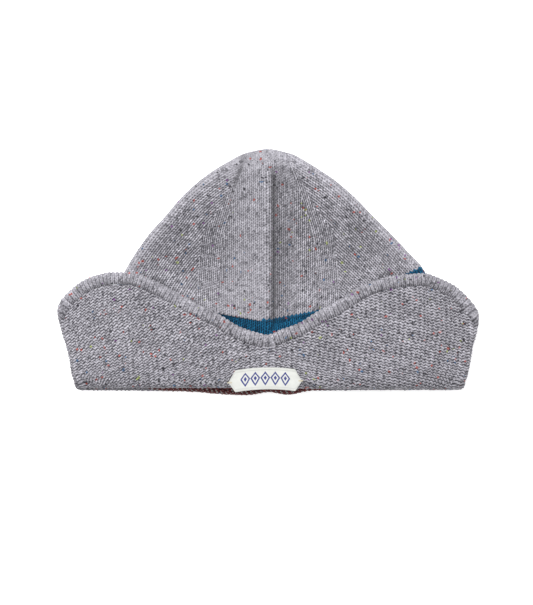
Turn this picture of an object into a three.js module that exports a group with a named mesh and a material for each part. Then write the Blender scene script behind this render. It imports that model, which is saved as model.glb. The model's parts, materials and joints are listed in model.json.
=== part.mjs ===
// Knitted beanie with a turned-up earflap cuff, lying on its back panel.
// Millimetres, +Z up. The front panel faces +Z, the closed top points to +Y and the rim to -Y.
import * as THREE from 'three';

// Driving dimensions
const WALL = 2.6;              // thickness of the knitted fabric
const LAYER_GAP = 0.6;         // air between two layers that lie on each other
const JOIN_GAP = 0.3;          // air between two bands that follow each other
const TOP_UP = 162.6;          // rim to the highest point of the closed top
const LOWEST_UP = -1.875;      // height of the lowest point, where the back fold shows below the front
const SIDE_TURN = 3.4;         // radius of the crown's side folds, at mid-wall
const FOLD_TURN = 2.5;         // radius of the fold at the rim, at mid-wall
const CREASE_X = 2.4;          // the step down the front panel runs beside its middle
const RIB_WIDTH = 8.5;         // ribbed edging, across
const RIB_BULGE = 1.2;         // what the edging is thicker than the fabric
const CUFF_REACH = 144;        // middle of the front to the side fold, along the cuff
const CUFF_TURN_FREE = 4.2;    // side fold of the cuff where the crown isn't inside it
const CUFF_SWELL = 12;         // rise of the cuff beyond the crown, from side fold to middle
const HALF_WALL = WALL / 2;
const LAYER_STEP = WALL + LAYER_GAP;
const ORIGIN_UP = (TOP_UP + LOWEST_UP) / 2;

// Outline of the crown as it lies flat, outside of the wall. "up" runs from the rim to the top.
const CROWN_OUTLINE = [
  { up: 3.8, left: 125, right: 125 },
  { up: 20, left: 122, right: 123 },
  { up: 40, left: 115, right: 118.5 },
  { up: 60, left: 106.5, right: 113 },
  { up: 82, left: 95.4, right: 104.2 },
  { up: 94, left: 88, right: 93.4 },
  { up: 106, left: 79.3, right: 82 },
  { up: 118, left: 68.5, right: 70 },
  { up: 130.5, left: 57.8, right: 57.8 },
  { up: 142.5, left: 44.4, right: 43.7 },
  { up: 150.5, left: 32.9, right: 31.6 },
  { up: 154.6, left: 25.5, right: 24.9 },
  { up: 158.6, left: 18.1, right: 17.5 },
  { up: 161.4, left: 8.5, right: 8 },
  { up: TOP_UP, left: 0, right: 0 },
];

// Courses of the knitting: each row's height in the middle and at the side folds, at mid-wall.
const COURSES = [
  { middle: 161.3, side: 161.3 },
  { middle: 160.9, side: 161.1 },
  { middle: 160.1, side: 160.5 },
  { middle: 158.3, side: 159.2 },
  { middle: 155, side: 156.8 },
  { middle: 149.5, side: 153 },
  { middle: 142, side: 147.5 },
  { middle: 132, side: 140.5 },
  { middle: 120, side: 132 },
  { middle: 106, side: 122.5 },
  { middle: 91, side: 112 },
  { middle: 76, side: 101 },
  { middle: 62, side: 91 },
  { middle: 49, side: 81.3 },
  { middle: 42, side: 68 },
  { middle: 36, side: 56 },
  { middle: 25, side: 37 },
  { middle: 14, side: 19 },
  { middle: 8.5, side: 10 },
  { middle: 3.8, side: 3.8 },
];
const BLUE_TOP = 13;           // places in the list of courses
const BLUE_END = 15;
const MAROON_TOP = 17;
const RIM_COURSE = COURSES.length - 1;
const COURSE_SMILE = 1.6;      // how a course bends from the middle to the sides

// Lie of the crown: height of the back panel at mid-wall, and how far the front panel swells.
const CROWN_LIE = [
  { up: 3.8, back: 6.3, swell: 12 },
  { up: 10, back: 4.8, swell: 12.6 },
  { up: 16, back: 4.5, swell: 13 },
  { up: 30, back: 4.7, swell: 13.8 },
  { up: 37, back: 5.8, swell: 14 },
  { up: 50, back: 5.8, swell: 14 },
  { up: 64, back: 4, swell: 14 },
  { up: 82, back: 1.8, swell: 13.6 },
  { up: 96, back: HALF_WALL, swell: 12.8 },
  { up: 120, back: HALF_WALL, swell: 10 },
  { up: 142, back: HALF_WALL, swell: 6 },
  { up: 154, back: HALF_WALL, swell: 3 },
  { up: TOP_UP, back: HALF_WALL, swell: 0 },
];
const SWELL_REACH = 38;        // distance from a side fold over which a panel swells

// Outline of the turned-up cuff, outside of the wall, and the radius of its side folds.
const CUFF_OUTLINE = [
  { up: 3.8, left: 130, right: 130.6, turn: 8.4 },
  { up: 10, left: 132, right: 133.8, turn: 7.1 },
  { up: 21.5, left: 133.7, right: 136.4, turn: 6.3 },
  { up: 29.6, left: 135.7, right: 137.8, turn: 5.5 },
  { up: 37.6, left: 138.4, right: 140.2, turn: 4.8 },
  { up: 45.7, left: 140.4, right: 141.6, turn: 4.4 },
  { up: 53.8, left: 141.6, right: 141.5, turn: CUFF_TURN_FREE },
  { up: 90, left: 141.8, right: 141.5, turn: CUFF_TURN_FREE },
];

// Free edge of the cuff. "turn" is 0 at the front's middle, 1 at the side fold, 2 at the back's.
const FREE_EDGE = [
  { turn: 0, left: 38.3, right: 38.3 },
  { turn: 0.055, left: 39.9, right: 41.3 },
  { turn: 0.14, left: 44.3, right: 46 },
  { turn: 0.22, left: 51.4, right: 53.2 },
  { turn: 0.32, left: 58.3, right: 60.6 },
  { turn: 0.4, left: 64.6, right: 68 },
  { turn: 0.485, left: 71.3, right: 73.8 },
  { turn: 0.57, left: 77, right: 77.2 },
  { turn: 0.65, left: 80, right: 78.6 },
  { turn: 0.73, left: 80, right: 79.3 },
  { turn: 0.805, left: 78, right: 76 },
  { turn: 0.875, left: 73.8, right: 71.3 },
  { turn: 0.915, left: 69.8, right: 66.8 },
  { turn: 0.955, left: 64.6, right: 61 },
  { turn: 0.98, left: 60, right: 56.4 },
  { turn: 1.01, left: 54.6, right: 52 },
  { turn: 1.06, left: 49.4, right: 48.2 },
  { turn: 1.15, left: 46, right: 45.6 },
  { turn: 1.4, left: 44.5, right: 44.5 },
  { turn: 1.7, left: 43, right: 43 },
  { turn: 2, left: 42, right: 42 },
];

// How far the fold at the rim stands up from the lowest line, across the hat.
const RIM_SHIFT = [
  { across: -125, front: 1.4, back: 0.6 },
  { across: -60, front: 1.7, back: 0 },
  { across: -15, front: 2.3, back: -2.1 },
  { across: 1, front: 2.5, back: -0.6 },
  { across: 13, front: 2.4, back: -1.9 },
  { across: 30, front: 2, back: 0.3 },
  { across: 70, front: 1.7, back: 0.8 },
  { across: 125, front: 1.4, back: 0.9 },
];
const RIM_SHIFT_FADE = 14;     // the shift fades out over this height

// The step beside the middle of the front panel: a ridge left of it, a valley right of it.
// It starts under the cuff and runs to the closed top.
const CREASE = {
  ridge: 1.5, ridgeReach: 14, valley: 1.9, valleyReach: 8, width: 1.6,
  from: 34, fadeIn: 14, to: 156, fadeOut: 22,
};

// Shallow hollows and swellings of the front panel.
const DENTS = [
  { across: -34, up: 138, reach: 17, rise: -1.3 },
  { across: -62, up: 96, reach: 24, rise: -1 },
  { across: 48, up: 116, reach: 22, rise: -1.2 },
  { across: 66, up: 84, reach: 20, rise: 0.8 },
  { across: 26, up: 70, reach: 16, rise: 0.6 },
];

// Woven label: an arched strip with pointed ends
const LABEL = {
  across: -1.8, up: 9.4, halfLength: 24, shoulder: 19.8, height: 14.4,
  arch: 2.3, tipHeight: 1, thickness: 0.9, overhangFrom: 7, lift: JOIN_GAP + 0.1,
};
const TACK = { length: 3.4, radius: 0.55, sides: 8 };

// Columns from the middle of the front (0) over the side fold (1) to the middle of the back (2)
const FRONT_TURNS = [
  0, 0.015, 0.035, 0.08, 0.15, 0.22, 0.29, 0.36, 0.43, 0.5, 0.57, 0.64, 0.71, 0.78, 0.84,
  0.89, 0.925, 0.952, 0.972, 0.987, 1,
];
const BACK_TURNS = [1.015, 1.032, 1.055, 1.09, 1.15, 1.24, 1.36, 1.49, 1.62, 1.75, 1.88, 2];

// Straight-sided smooth curve through the rows of a table, without overshoot
function readCurve(rows, along, column, at) {
  const last = rows.length - 1;
  if (at <= rows[0][along]) return rows[0][column];
  if (at >= rows[last][along]) return rows[last][column];
  let k = 0;
  while (rows[k + 1][along] < at) k += 1;
  const rate = (i) => {
    const rise = rows[i + 1][column] - rows[i][column];
    return rise / (rows[i + 1][along] - rows[i][along]);
  };
  const slope = (i) => {
    if (i === 0 || i === last) return 0;
    const [before, after] = [rate(i - 1), rate(i)];
    return before * after <= 0 ? 0 : 2 * before * after / (before + after);
  };
  const span = rows[k + 1][along] - rows[k][along];
  const s = (at - rows[k][along]) / span;
  const rest = 1 - s;
  return rows[k][column] * (1 + 2 * s) * rest * rest + slope(k) * span * s * rest * rest
    + rows[k + 1][column] * s * s * (3 - 2 * s) - slope(k + 1) * span * s * s * rest;
}

// Crown outline moved in by half a wall, so that the sheet runs at mid-wall
function insetOutline(rows, side) {
  return rows.map((row, i) => {
    const before = rows[Math.max(i - 1, 0)];
    const after = rows[Math.min(i + 1, rows.length - 1)];
    const run = i === rows.length - 1 ? 0 : after.up - before.up;
    const drop = i === 0 ? 0 : before[side] - after[side];
    const length = Math.hypot(run, drop);
    return { up: row.up - HALF_WALL * drop / length, half: row[side] - HALF_WALL * run / length };
  });
}

const CROWN_INSET = {
  left: insetOutline(CROWN_OUTLINE, 'left'),
  right: insetOutline(CROWN_OUTLINE, 'right'),
};

function smoothStep(from, to, at) {
  const s = THREE.MathUtils.clamp((at - from) / (to - from), 0, 1);
  return s * s * (3 - 2 * s);
}

function bell(distance, reach) {
  return Math.exp(-((distance / reach) ** 2));
}

function crownHalf(side, up) {
  const rows = CROWN_INSET[side];
  const last = rows.length - 1;
  if (up >= rows[last].up) return 0;
  const lower = rows[last - 1];
  if (up > lower.up) {
    return lower.half * Math.sqrt((rows[last].up - up) / (rows[last].up - lower.up));
  }
  return readCurve(rows, 'up', 'half', up);
}

function rimShift(x, up, front) {
  const shift = readCurve(RIM_SHIFT, 'across', front ? 'front' : 'back', x);
  return shift * Math.exp(-Math.max(up - RIM_SHIFT[0].front, 0) / RIM_SHIFT_FADE);
}

// Rise of the front panel over its flat lie: swelling, crease and dents
function frontRelief(x, up, fromFold) {
  const swollen = 1 - bell(Math.max(fromFold, 0), SWELL_REACH);
  let rise = readCurve(CROWN_LIE, 'up', 'swell', up) * swollen;
  const off = x - CREASE_X;
  const toRight = smoothStep(-CREASE.width, CREASE.width, off);
  const begun = smoothStep(CREASE.from, CREASE.from + CREASE.fadeIn, up);
  const strength = begun * (1 - smoothStep(CREASE.to - CREASE.fadeOut, CREASE.to, up));
  rise += strength * CREASE.ridge * bell(off, CREASE.ridgeReach) * (1 - toRight);
  rise -= strength * CREASE.valley * bell(off, CREASE.valleyReach) * toRight;
  const inland = 1 - bell(Math.max(fromFold, 0), SIDE_TURN * 3);
  for (const dent of DENTS) {
    rise += inland * dent.rise * bell(Math.hypot(x - dent.across, up - dent.up), dent.reach);
  }
  return rise;
}

// Height of the crown's front panel at mid-wall over a point of the plan
function crownFrontHeight(x, up) {
  const half = crownHalf(x < 0 ? 'left' : 'right', up);
  const fromFold = half - SIDE_TURN - Math.abs(x);
  const turnCentre = readCurve(CROWN_LIE, 'up', 'back', up) + SIDE_TURN;
  if (fromFold >= 0) return turnCentre + SIDE_TURN + frontRelief(x, up, fromFold);
  const inTurn = SIDE_TURN ** 2 - fromFold ** 2;
  return inTurn > 0 ? turnCentre + Math.sqrt(inTurn) : -Infinity;
}

// Place across a flattened ring: straight to the side fold, then round it
function ringPlace(half, turn, radius, shift) {
  const share = turn > 1 ? 2 - turn : turn;
  const flat = half - radius - shift;
  const along = share * (flat + radius * Math.PI / 2);
  if (along <= flat) return { across: shift + along, angle: 0 };
  const angle = (along - flat) / radius;
  return { across: half - radius + radius * Math.sin(angle), angle };
}

// Point of the crown at mid-wall. "course" may lie between two rows of the list.
function crownPoint(sign, turn, course) {
  const k = Math.min(Math.floor(course), RIM_COURSE - 1);
  const between = course - k;
  const middle = THREE.MathUtils.lerp(COURSES[k].middle, COURSES[k + 1].middle, between);
  const atSide = THREE.MathUtils.lerp(COURSES[k].side, COURSES[k + 1].side, between);
  const toTop = COURSES[0].middle - middle;
  const rounded = Math.sqrt(Math.max(toTop * (2 * SIDE_TURN - toTop), 0));
  const radius = toTop < SIDE_TURN ? rounded : SIDE_TURN;
  const half = Math.max(crownHalf(sign < 0 ? 'left' : 'right', atSide), radius);
  const shift = sign * CREASE_X * smoothStep(10, 45, middle) * Math.min(half / 30, 1);
  const place = ringPlace(half, turn, radius, shift);
  const x = sign * place.across;
  const front = turn <= 1;
  const bend = half > 0 ? (Math.max(place.across, 0) / half) ** COURSE_SMILE : 0;
  const up = middle + (atSide - middle) * bend;
  const centre = readCurve(CROWN_LIE, 'up', 'back', up) + SIDE_TURN;
  let z = centre + (front ? radius : -radius) * Math.cos(place.angle);
  if (front && place.angle === 0) z += frontRelief(x, up, half - radius - place.across);
  return new THREE.Vector3(x, up + rimShift(x, up, front) - ORIGIN_UP, z);
}

// Direction out of the hollow, by small steps along and across the sheet
function outward(pointAt, sign, turn, along) {
  const step = 0.004;
  const middleOfPanel = turn < step || turn > 2 - step;
  const hand = middleOfPanel ? 1 : sign;
  const acrossFrom = middleOfPanel ? pointAt(-1, turn < step ? step : 2 - step, along)
    : pointAt(sign, turn - step, along);
  const acrossTo = middleOfPanel ? pointAt(1, turn < step ? step : 2 - step, along)
    : pointAt(sign, turn + step, along);
  const round = acrossTo.sub(acrossFrom).multiplyScalar(hand * (turn > 2 - step ? -1 : 1));
  const down = pointAt(sign, turn, along + step).sub(pointAt(sign, turn, along - step));
  return down.cross(round).normalize();
}

function crownOutward(sign, turn, course) {
  const clear = THREE.MathUtils.clamp(course, 0.05, RIM_COURSE - 0.05);
  return outward(crownPoint, sign, turn, clear);
}

// Point of the cuff at mid-wall, by its place along the ring and its height
function cuffPlan(sign, turn, up) {
  const side = sign < 0 ? 'left' : 'right';
  const half = readCurve(CUFF_OUTLINE, 'up', side, up) - HALF_WALL;
  const radius = readCurve(CUFF_OUTLINE, 'up', 'turn', up);
  const place = ringPlace(half, turn, radius, 0);
  const x = sign * place.across;
  const front = turn <= 1;
  let z = HALF_WALL + radius + (front ? radius : -radius) * Math.cos(place.angle);
  if (front && place.angle === 0) {
    const fromFold = half - radius - place.across;
    const hung = z + CUFF_SWELL * (1 - bell(fromFold, 28));
    const carried = crownFrontHeight(x, up) + LAYER_STEP;
    const blend = 2 * (1 - Math.exp(-fromFold / 6)) + 1e-6;
    const near = Math.max(blend - Math.abs(hung - carried), 0) / blend;
    z = Math.max(hung, carried) + near * near * blend / 4;
  }
  return new THREE.Vector3(x, up + rimShift(x, up, front) - ORIGIN_UP, z);
}

function edgeUp(sign, turn) {
  return readCurve(FREE_EDGE, 'turn', sign < 0 ? 'left' : 'right', THREE.MathUtils.clamp(turn, 0, 2));
}

// Place a given distance inside the free edge, square to it
function insideEdge(sign, turn, distance) {
  const step = 0.01;
  const slope = (edgeUp(sign, turn + step) - edgeUp(sign, turn - step)) / (2 * step * CUFF_REACH);
  const flatSlope = turn < step || turn > 2 - step ? 0 : slope;
  const length = Math.hypot(1, flatSlope);
  return {
    turn: turn + distance * flatSlope / length / CUFF_REACH,
    up: edgeUp(sign, turn) - distance / length,
  };
}

const RIM_UP = COURSES[RIM_COURSE].middle;

// The fold at the rim leads from the crown's last course to the cuff's first
function foldPoint(sign, turn, angle) {
  const start = crownPoint(sign, turn, RIM_COURSE);
  const out = crownOutward(sign, turn, RIM_COURSE);
  const reach = FOLD_TURN * (1 - Math.cos(angle));
  start.addScaledVector(out, reach);
  start.y -= FOLD_TURN * Math.sin(angle);
  return start;
}

function foldOutward(sign, turn, angle) {
  const out = crownOutward(sign, turn, RIM_COURSE);
  out.multiplyScalar(-Math.cos(angle));
  out.y -= Math.sin(angle);
  return out.normalize();
}

// Point of the cuff. "climb" is 0 at the fold and 1 at a given distance inside the free edge.
function cuffPoint(sign, turn, climb, distance) {
  const top = insideEdge(sign, turn, distance);
  const atTurn = THREE.MathUtils.lerp(turn, top.turn, climb);
  const atUp = THREE.MathUtils.lerp(RIM_UP, top.up, climb);
  const point = cuffPlan(sign, THREE.MathUtils.clamp(atTurn, 0, 2), atUp);
  const correction = foldPoint(sign, turn, Math.PI).sub(cuffPlan(sign, turn, RIM_UP));
  return point.addScaledVector(correction, Math.exp(-(atUp - RIM_UP) / 6));
}

function cuffOutward(sign, turn, climb, distance) {
  const pointAt = (s, t, along) => cuffPoint(s, t, -along, distance);
  return outward(pointAt, sign, turn, -THREE.MathUtils.clamp(climb, 0.01, 0.99 + 0.01));
}

// All columns of a ring: front middle, right side, back middle, left side
function ringColumns() {
  const turns = [...FRONT_TURNS, ...BACK_TURNS];
  const right = turns.map((turn) => ({ sign: 1, turn }));
  const left = turns.slice(1, -1).reverse().map((turn) => ({ sign: -1, turn }));
  return [...right, ...left];
}

// Closed band of fabric from rows of mid-wall points. Each row gives its offsets to both faces.
function bandGeometry(rows, closedTop) {
  const count = rows[0].points.length;
  const corners = [];
  const faces = [];
  const addRow = (row, face) => {
    const start = corners.length;
    row.points.forEach((point, i) => {
      corners.push(point.clone().addScaledVector(row.normals[i], row[face][i]));
    });
    return start;
  };
  const addPole = (row, face) => {
    corners.push(row.points[0].clone().addScaledVector(row.normals[0], row[face][0]));
    return corners.length - 1;
  };
  const join = (first, second) => {
    for (let i = 0; i < count; i += 1) {
      const j = (i + 1) % count;
      faces.push([first + i, second + i, second + j], [first + i, second + j, first + j]);
    }
  };
  // The lower rim is split along the same diagonals as the upper rim of the band that follows
  const joinRim = (first, second) => {
    for (let i = 0; i < count; i += 1) {
      const j = (i + 1) % count;
      faces.push([first + i, second + i, first + j], [second + i, second + j, first + j]);
    }
  };
  const cap = (pole, ring, flip) => {
    for (let i = 0; i < count; i += 1) {
      const j = (i + 1) % count;
      faces.push(flip ? [pole, ring + j, ring + i] : [pole, ring + i, ring + j]);
    }
  };
  const body = closedTop ? rows.slice(1) : rows;
  const outer = body.map((row) => addRow(row, 'outer'));
  const inner = body.map((row) => addRow(row, 'inner'));
  for (let k = 1; k < outer.length; k += 1) {
    join(outer[k - 1], outer[k]);
    join(inner[k], inner[k - 1]);
  }
  joinRim(outer[outer.length - 1], inner[inner.length - 1]);
  if (closedTop) {
    cap(addPole(rows[0], 'outer'), outer[0], false);
    cap(addPole(rows[0], 'inner'), inner[0], true);
  } else {
    join(inner[0], outer[0]);
  }
  return meshGeometry(corners, faces);
}

function meshGeometry(corners, faces) {
  const geometry = new THREE.BufferGeometry();
  const flat = corners.flatMap((corner) => [corner.x, corner.y, corner.z]);
  geometry.setAttribute('position', new THREE.Float32BufferAttribute(flat, 3));
  geometry.setIndex(faces.flat());
  geometry.computeVertexNormals();
  return geometry;
}

const COLUMNS = ringColumns();

function evenRow(points, normals) {
  return {
    points,
    normals,
    outer: points.map(() => HALF_WALL),
    inner: points.map(() => -HALF_WALL),
  };
}

function crownRow(course) {
  const points = COLUMNS.map(({ sign, turn }) => crownPoint(sign, turn, course));
  if (course === 0) return evenRow(points, points.map(() => new THREE.Vector3(0, 1, 0)));
  return evenRow(points, COLUMNS.map(({ sign, turn }) => crownOutward(sign, turn, course)));
}

// Course a small way below or above another, so that two bands keep their gap
function besideCourse(course, side) {
  const spacing = Math.abs(COURSES[course + side].middle - COURSES[course].middle);
  return course + side * JOIN_GAP / 2 / spacing;
}

function crownBand(from, to) {
  const rows = [];
  rows.push(crownRow(from === 0 ? 0 : besideCourse(from, 1)));
  for (let course = from + 1; course < to; course += 1) rows.push(crownRow(course));
  rows.push(crownRow(besideCourse(to, -1)));
  return bandGeometry(rows, from === 0);
}

// Rows of the cuff: round the rim fold, then up to the seam of the ribbed edging
function cuffBand() {
  const rows = [];
  const foldSteps = 4;
  for (let k = 0; k < foldSteps; k += 1) {
    const angle = Math.PI * k / foldSteps;
    const points = COLUMNS.map(({ sign, turn }) => foldPoint(sign, turn, angle));
    const normals = COLUMNS.map(({ sign, turn }) => foldOutward(sign, turn, angle));
    rows.push(evenRow(points, normals));
  }
  for (const climb of [0, 0.08, 0.2, 0.36, 0.52, 0.68, 0.84, 1]) {
    const distance = RIB_WIDTH + JOIN_GAP / 2;
    const points = COLUMNS.map(({ sign, turn }) => cuffPoint(sign, turn, climb, distance));
    const normals = COLUMNS.map(({ sign, turn }) => cuffOutward(sign, turn, climb, distance));
    rows.push(evenRow(points, normals));
  }
  return bandGeometry(rows.reverse(), false);
}

// Cross-section of the ribbed edging: a padded strip with a rounded free edge
const RIB_SECTION = [
  { inside: 0, bulge: 0, wall: 0.45 },
  { inside: RIB_WIDTH * 0.12, bulge: 0.6, wall: 0.9 },
  { inside: RIB_WIDTH * 0.4, bulge: 1, wall: 1 },
  { inside: RIB_WIDTH * 0.75, bulge: 0.85, wall: 1 },
  { inside: RIB_WIDTH - JOIN_GAP / 2, bulge: 0.15, wall: 1 },
];

function ribbingBand() {
  const rows = RIB_SECTION.map(({ inside, bulge, wall }) => {
    const place = ({ sign, turn }) => cuffPoint(sign, turn, 1, Math.max(inside, 0.05));
    const lean = ({ sign, turn }) => cuffOutward(sign, turn, 1, Math.max(inside, 0.05));
    const frontShare = COLUMNS.map(({ turn }) => 1 - smoothStep(0.93, 1.05, turn));
    return {
      points: COLUMNS.map(place),
      normals: COLUMNS.map(lean),
      outer: frontShare.map((share) => HALF_WALL * wall + RIB_BULGE * bulge * share),
      inner: frontShare.map((share) => -HALF_WALL * wall - RIB_BULGE * bulge * (1 - share)),
    };
  });
  return bandGeometry(rows, false);
}

// Point at a height above the cuff's outer face at the front, where the label lies on it
function overCuff(x, up, lift) {
  const sign = x < 0 ? -1 : 1;
  const half = readCurve(CUFF_OUTLINE, 'up', sign < 0 ? 'left' : 'right', up) - HALF_WALL;
  const radius = readCurve(CUFF_OUTLINE, 'up', 'turn', up);
  const turn = Math.abs(x) / (half - radius + radius * Math.PI / 2);
  const top = insideEdge(sign, turn, RIB_WIDTH);
  const climb = (up - RIM_UP) / (top.up - RIM_UP);
  const point = cuffPoint(sign, turn, climb, RIB_WIDTH);
  return point.addScaledVector(cuffOutward(sign, turn, climb, RIB_WIDTH), HALF_WALL + lift);
}

// The stiff label lies on the cuff down to the fold and stands straight out past it
function labelPoint(x, up, lift) {
  const lying = overCuff(x, Math.max(up, LABEL.overhangFrom), lift);
  if (up >= LABEL.overhangFrom) return lying;
  const span = 1;
  const slope = overCuff(x, LABEL.overhangFrom + span, lift).sub(lying).divideScalar(span);
  return lying.addScaledVector(slope, up - LABEL.overhangFrom);
}

// Upper and lower edge of the label at a share -1 to 1 of its half length
function labelEdges(share) {
  const along = share * LABEL.halfLength;
  const toTip = Math.max(Math.abs(along) - LABEL.shoulder, 0) / (LABEL.halfLength - LABEL.shoulder);
  const halfHeight = THREE.MathUtils.lerp(LABEL.height, LABEL.tipHeight, toTip) / 2;
  const middle = LABEL.up - LABEL.arch * share * share;
  return { x: LABEL.across + along, low: middle - halfHeight, high: middle + halfHeight };
}

function labelGeometry() {
  const shares = [-1, -0.9125, -0.825, -0.55, -0.275, 0, 0.275, 0.55, 0.825, 0.9125, 1];
  const steps = [0, 0.33, 0.67, 1];
  const corners = [];
  const index = (i, j, top) => (i * steps.length + j) * 2 + top;
  for (const share of shares) {
    const edges = labelEdges(share);
    for (const step of steps) {
      const up = THREE.MathUtils.lerp(edges.low, edges.high, step);
      corners.push(labelPoint(edges.x, up, LABEL.lift));
      corners.push(labelPoint(edges.x, up, LABEL.lift + LABEL.thickness));
    }
  }
  const faces = [];
  const quad = (a, b, c, d) => faces.push([a, b, c], [a, c, d]);
  for (let i = 1; i < shares.length; i += 1) {
    for (let j = 1; j < steps.length; j += 1) {
      quad(index(i - 1, j - 1, 1), index(i, j - 1, 1), index(i, j, 1), index(i - 1, j, 1));
      quad(index(i - 1, j - 1, 0), index(i - 1, j, 0), index(i, j, 0), index(i, j - 1, 0));
    }
    const last = steps.length - 1;
    quad(index(i - 1, 0, 0), index(i, 0, 0), index(i, 0, 1), index(i - 1, 0, 1));
    quad(index(i - 1, last, 1), index(i, last, 1), index(i, last, 0), index(i - 1, last, 0));
  }
  for (let j = 1; j < steps.length; j += 1) {
    const end = shares.length - 1;
    quad(index(0, j - 1, 1), index(0, j, 1), index(0, j, 0), index(0, j - 1, 0));
    quad(index(end, j - 1, 0), index(end, j, 0), index(end, j, 1), index(end, j - 1, 1));
  }
  return meshGeometry(corners, faces);
}

// Bar tack: a short rod of thread with round ends, across a tip of the label
function tackMesh(name, side) {
  const half = TACK.length / 2;
  const profile = [
    new THREE.Vector2(0, -half),
    new THREE.Vector2(TACK.radius * 0.8, -half + TACK.radius * 0.5),
    new THREE.Vector2(TACK.radius, -half + TACK.radius * 1.4),
    new THREE.Vector2(TACK.radius, half - TACK.radius * 1.4),
    new THREE.Vector2(TACK.radius * 0.8, half - TACK.radius * 0.5),
    new THREE.Vector2(0, half),
  ];
  const mesh = new THREE.Mesh(new THREE.LatheGeometry(profile, TACK.sides), MATERIALS.thread);
  const tip = labelEdges(side);
  const up = (tip.low + tip.high) / 2;
  const lift = LABEL.lift + LABEL.thickness + JOIN_GAP + TACK.radius;
  const inset = 0.6;
  mesh.name = name;
  mesh.rotation.z = Math.PI / 2;
  mesh.position.copy(labelPoint(tip.x - side * inset, up, lift));
  return mesh;
}

function fabric(hex, roughness) {
  return new THREE.MeshStandardMaterial({ color: hex, roughness, metalness: 0 });
}

const MATERIALS = {
  grey: fabric(0x96949c, 0.95),
  purl: fabric(0x8f8d96, 0.95),
  rib: fabric(0xa3a1a9, 0.95),
  blue: fabric(0x2a6a96, 0.95),
  maroon: fabric(0x6b3034, 0.95),
  label: fabric(0xe2e3dd, 0.8),
  thread: fabric(0xcbbd9a, 0.7),
};

function namedMesh(name, geometry, material) {
  const mesh = new THREE.Mesh(geometry, material);
  mesh.name = name;
  return mesh;
}

const beanie = new THREE.Group();
beanie.name = 'earmuff_beanie';
beanie.add(namedMesh('crown', crownBand(0, BLUE_TOP), MATERIALS.grey));
beanie.add(namedMesh('blue_stripe', crownBand(BLUE_TOP, BLUE_END), MATERIALS.blue));
beanie.add(namedMesh('crown_base', crownBand(BLUE_END, MAROON_TOP), MATERIALS.grey));
beanie.add(namedMesh('maroon_stripe', crownBand(MAROON_TOP, RIM_COURSE), MATERIALS.maroon));
beanie.add(namedMesh('earflap_cuff', cuffBand(), MATERIALS.purl));
beanie.add(namedMesh('edge_ribbing', ribbingBand(), MATERIALS.rib));
beanie.add(namedMesh('label', labelGeometry(), MATERIALS.label));
beanie.add(tackMesh('tack_left', -1));
beanie.add(tackMesh('tack_right', 1));

export default beanie;
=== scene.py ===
"""Knitted beanie with a turned-up earflap cuff, lying on its back panel.

Sizes are in millimetres until a mesh is made. "across" runs along the rim to the viewer's
right, "up" from the rim fold to the closed top, and "height" away from the floor.
"""

import json
import logging
import math
from dataclasses import dataclass
from enum import Enum
from typing import ClassVar

import bpy
import numpy as np
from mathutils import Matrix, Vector

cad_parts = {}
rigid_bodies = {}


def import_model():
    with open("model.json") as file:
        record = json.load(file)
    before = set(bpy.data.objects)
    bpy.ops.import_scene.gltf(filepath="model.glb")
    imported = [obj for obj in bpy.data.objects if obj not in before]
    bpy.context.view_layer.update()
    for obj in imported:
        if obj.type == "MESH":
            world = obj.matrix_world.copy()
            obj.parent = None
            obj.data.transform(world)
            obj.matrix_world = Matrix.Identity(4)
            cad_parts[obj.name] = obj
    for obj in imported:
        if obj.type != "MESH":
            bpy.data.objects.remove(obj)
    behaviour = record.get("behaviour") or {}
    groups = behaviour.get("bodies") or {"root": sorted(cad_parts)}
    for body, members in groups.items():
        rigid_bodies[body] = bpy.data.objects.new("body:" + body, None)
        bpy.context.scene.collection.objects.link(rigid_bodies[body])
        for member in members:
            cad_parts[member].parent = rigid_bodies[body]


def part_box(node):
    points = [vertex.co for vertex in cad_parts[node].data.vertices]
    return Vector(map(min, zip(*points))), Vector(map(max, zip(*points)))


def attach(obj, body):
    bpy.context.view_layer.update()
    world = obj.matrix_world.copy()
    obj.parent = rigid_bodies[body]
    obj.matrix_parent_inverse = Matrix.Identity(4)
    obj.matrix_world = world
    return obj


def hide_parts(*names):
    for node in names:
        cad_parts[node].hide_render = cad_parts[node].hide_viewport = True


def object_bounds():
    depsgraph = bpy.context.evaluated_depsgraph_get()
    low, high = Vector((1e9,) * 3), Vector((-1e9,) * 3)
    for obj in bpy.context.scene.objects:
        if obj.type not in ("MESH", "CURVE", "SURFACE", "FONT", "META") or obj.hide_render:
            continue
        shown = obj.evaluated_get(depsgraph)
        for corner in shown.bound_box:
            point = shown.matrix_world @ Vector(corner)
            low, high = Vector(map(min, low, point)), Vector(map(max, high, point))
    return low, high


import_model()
CAD_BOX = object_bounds()

log = logging.getLogger("beanie")

MM = 0.001
WALL = 2.6                      # thickness of the knitted fabric
HALF_WALL = WALL / 2
LAYER_STEP = WALL + 0.6         # from one layer to the next, with the air between them
SIDE_TURN = 3.4                 # radius of the crown's side folds, at mid-wall
QUARTER_FOLD = SIDE_TURN * math.pi / 2
FOLD_TURN = 2.5                 # radius of the fold at the rim, at mid-wall
RIM_UP = 3.8                    # end of the crown's last course, where the rim fold begins
TOP_UP = 162.6 - HALF_WALL      # closed top, at mid-wall
ORIGIN_UP = 80.3625             # the frame's origin
CREASE_ACROSS = 1.4             # the step down the front panel
CUFF_REACH = 144.0              # middle of the front to the side fold, along the cuff
RIB_WIDTH = 8.5                 # ribbed edging, across
SIDES = (-1, 1)                 # left and right
PER_STITCH = 4                  # samples along and across one stitch
UNDYED = -9.0                   # the dye attribute far outside any dyed stretch

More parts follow.
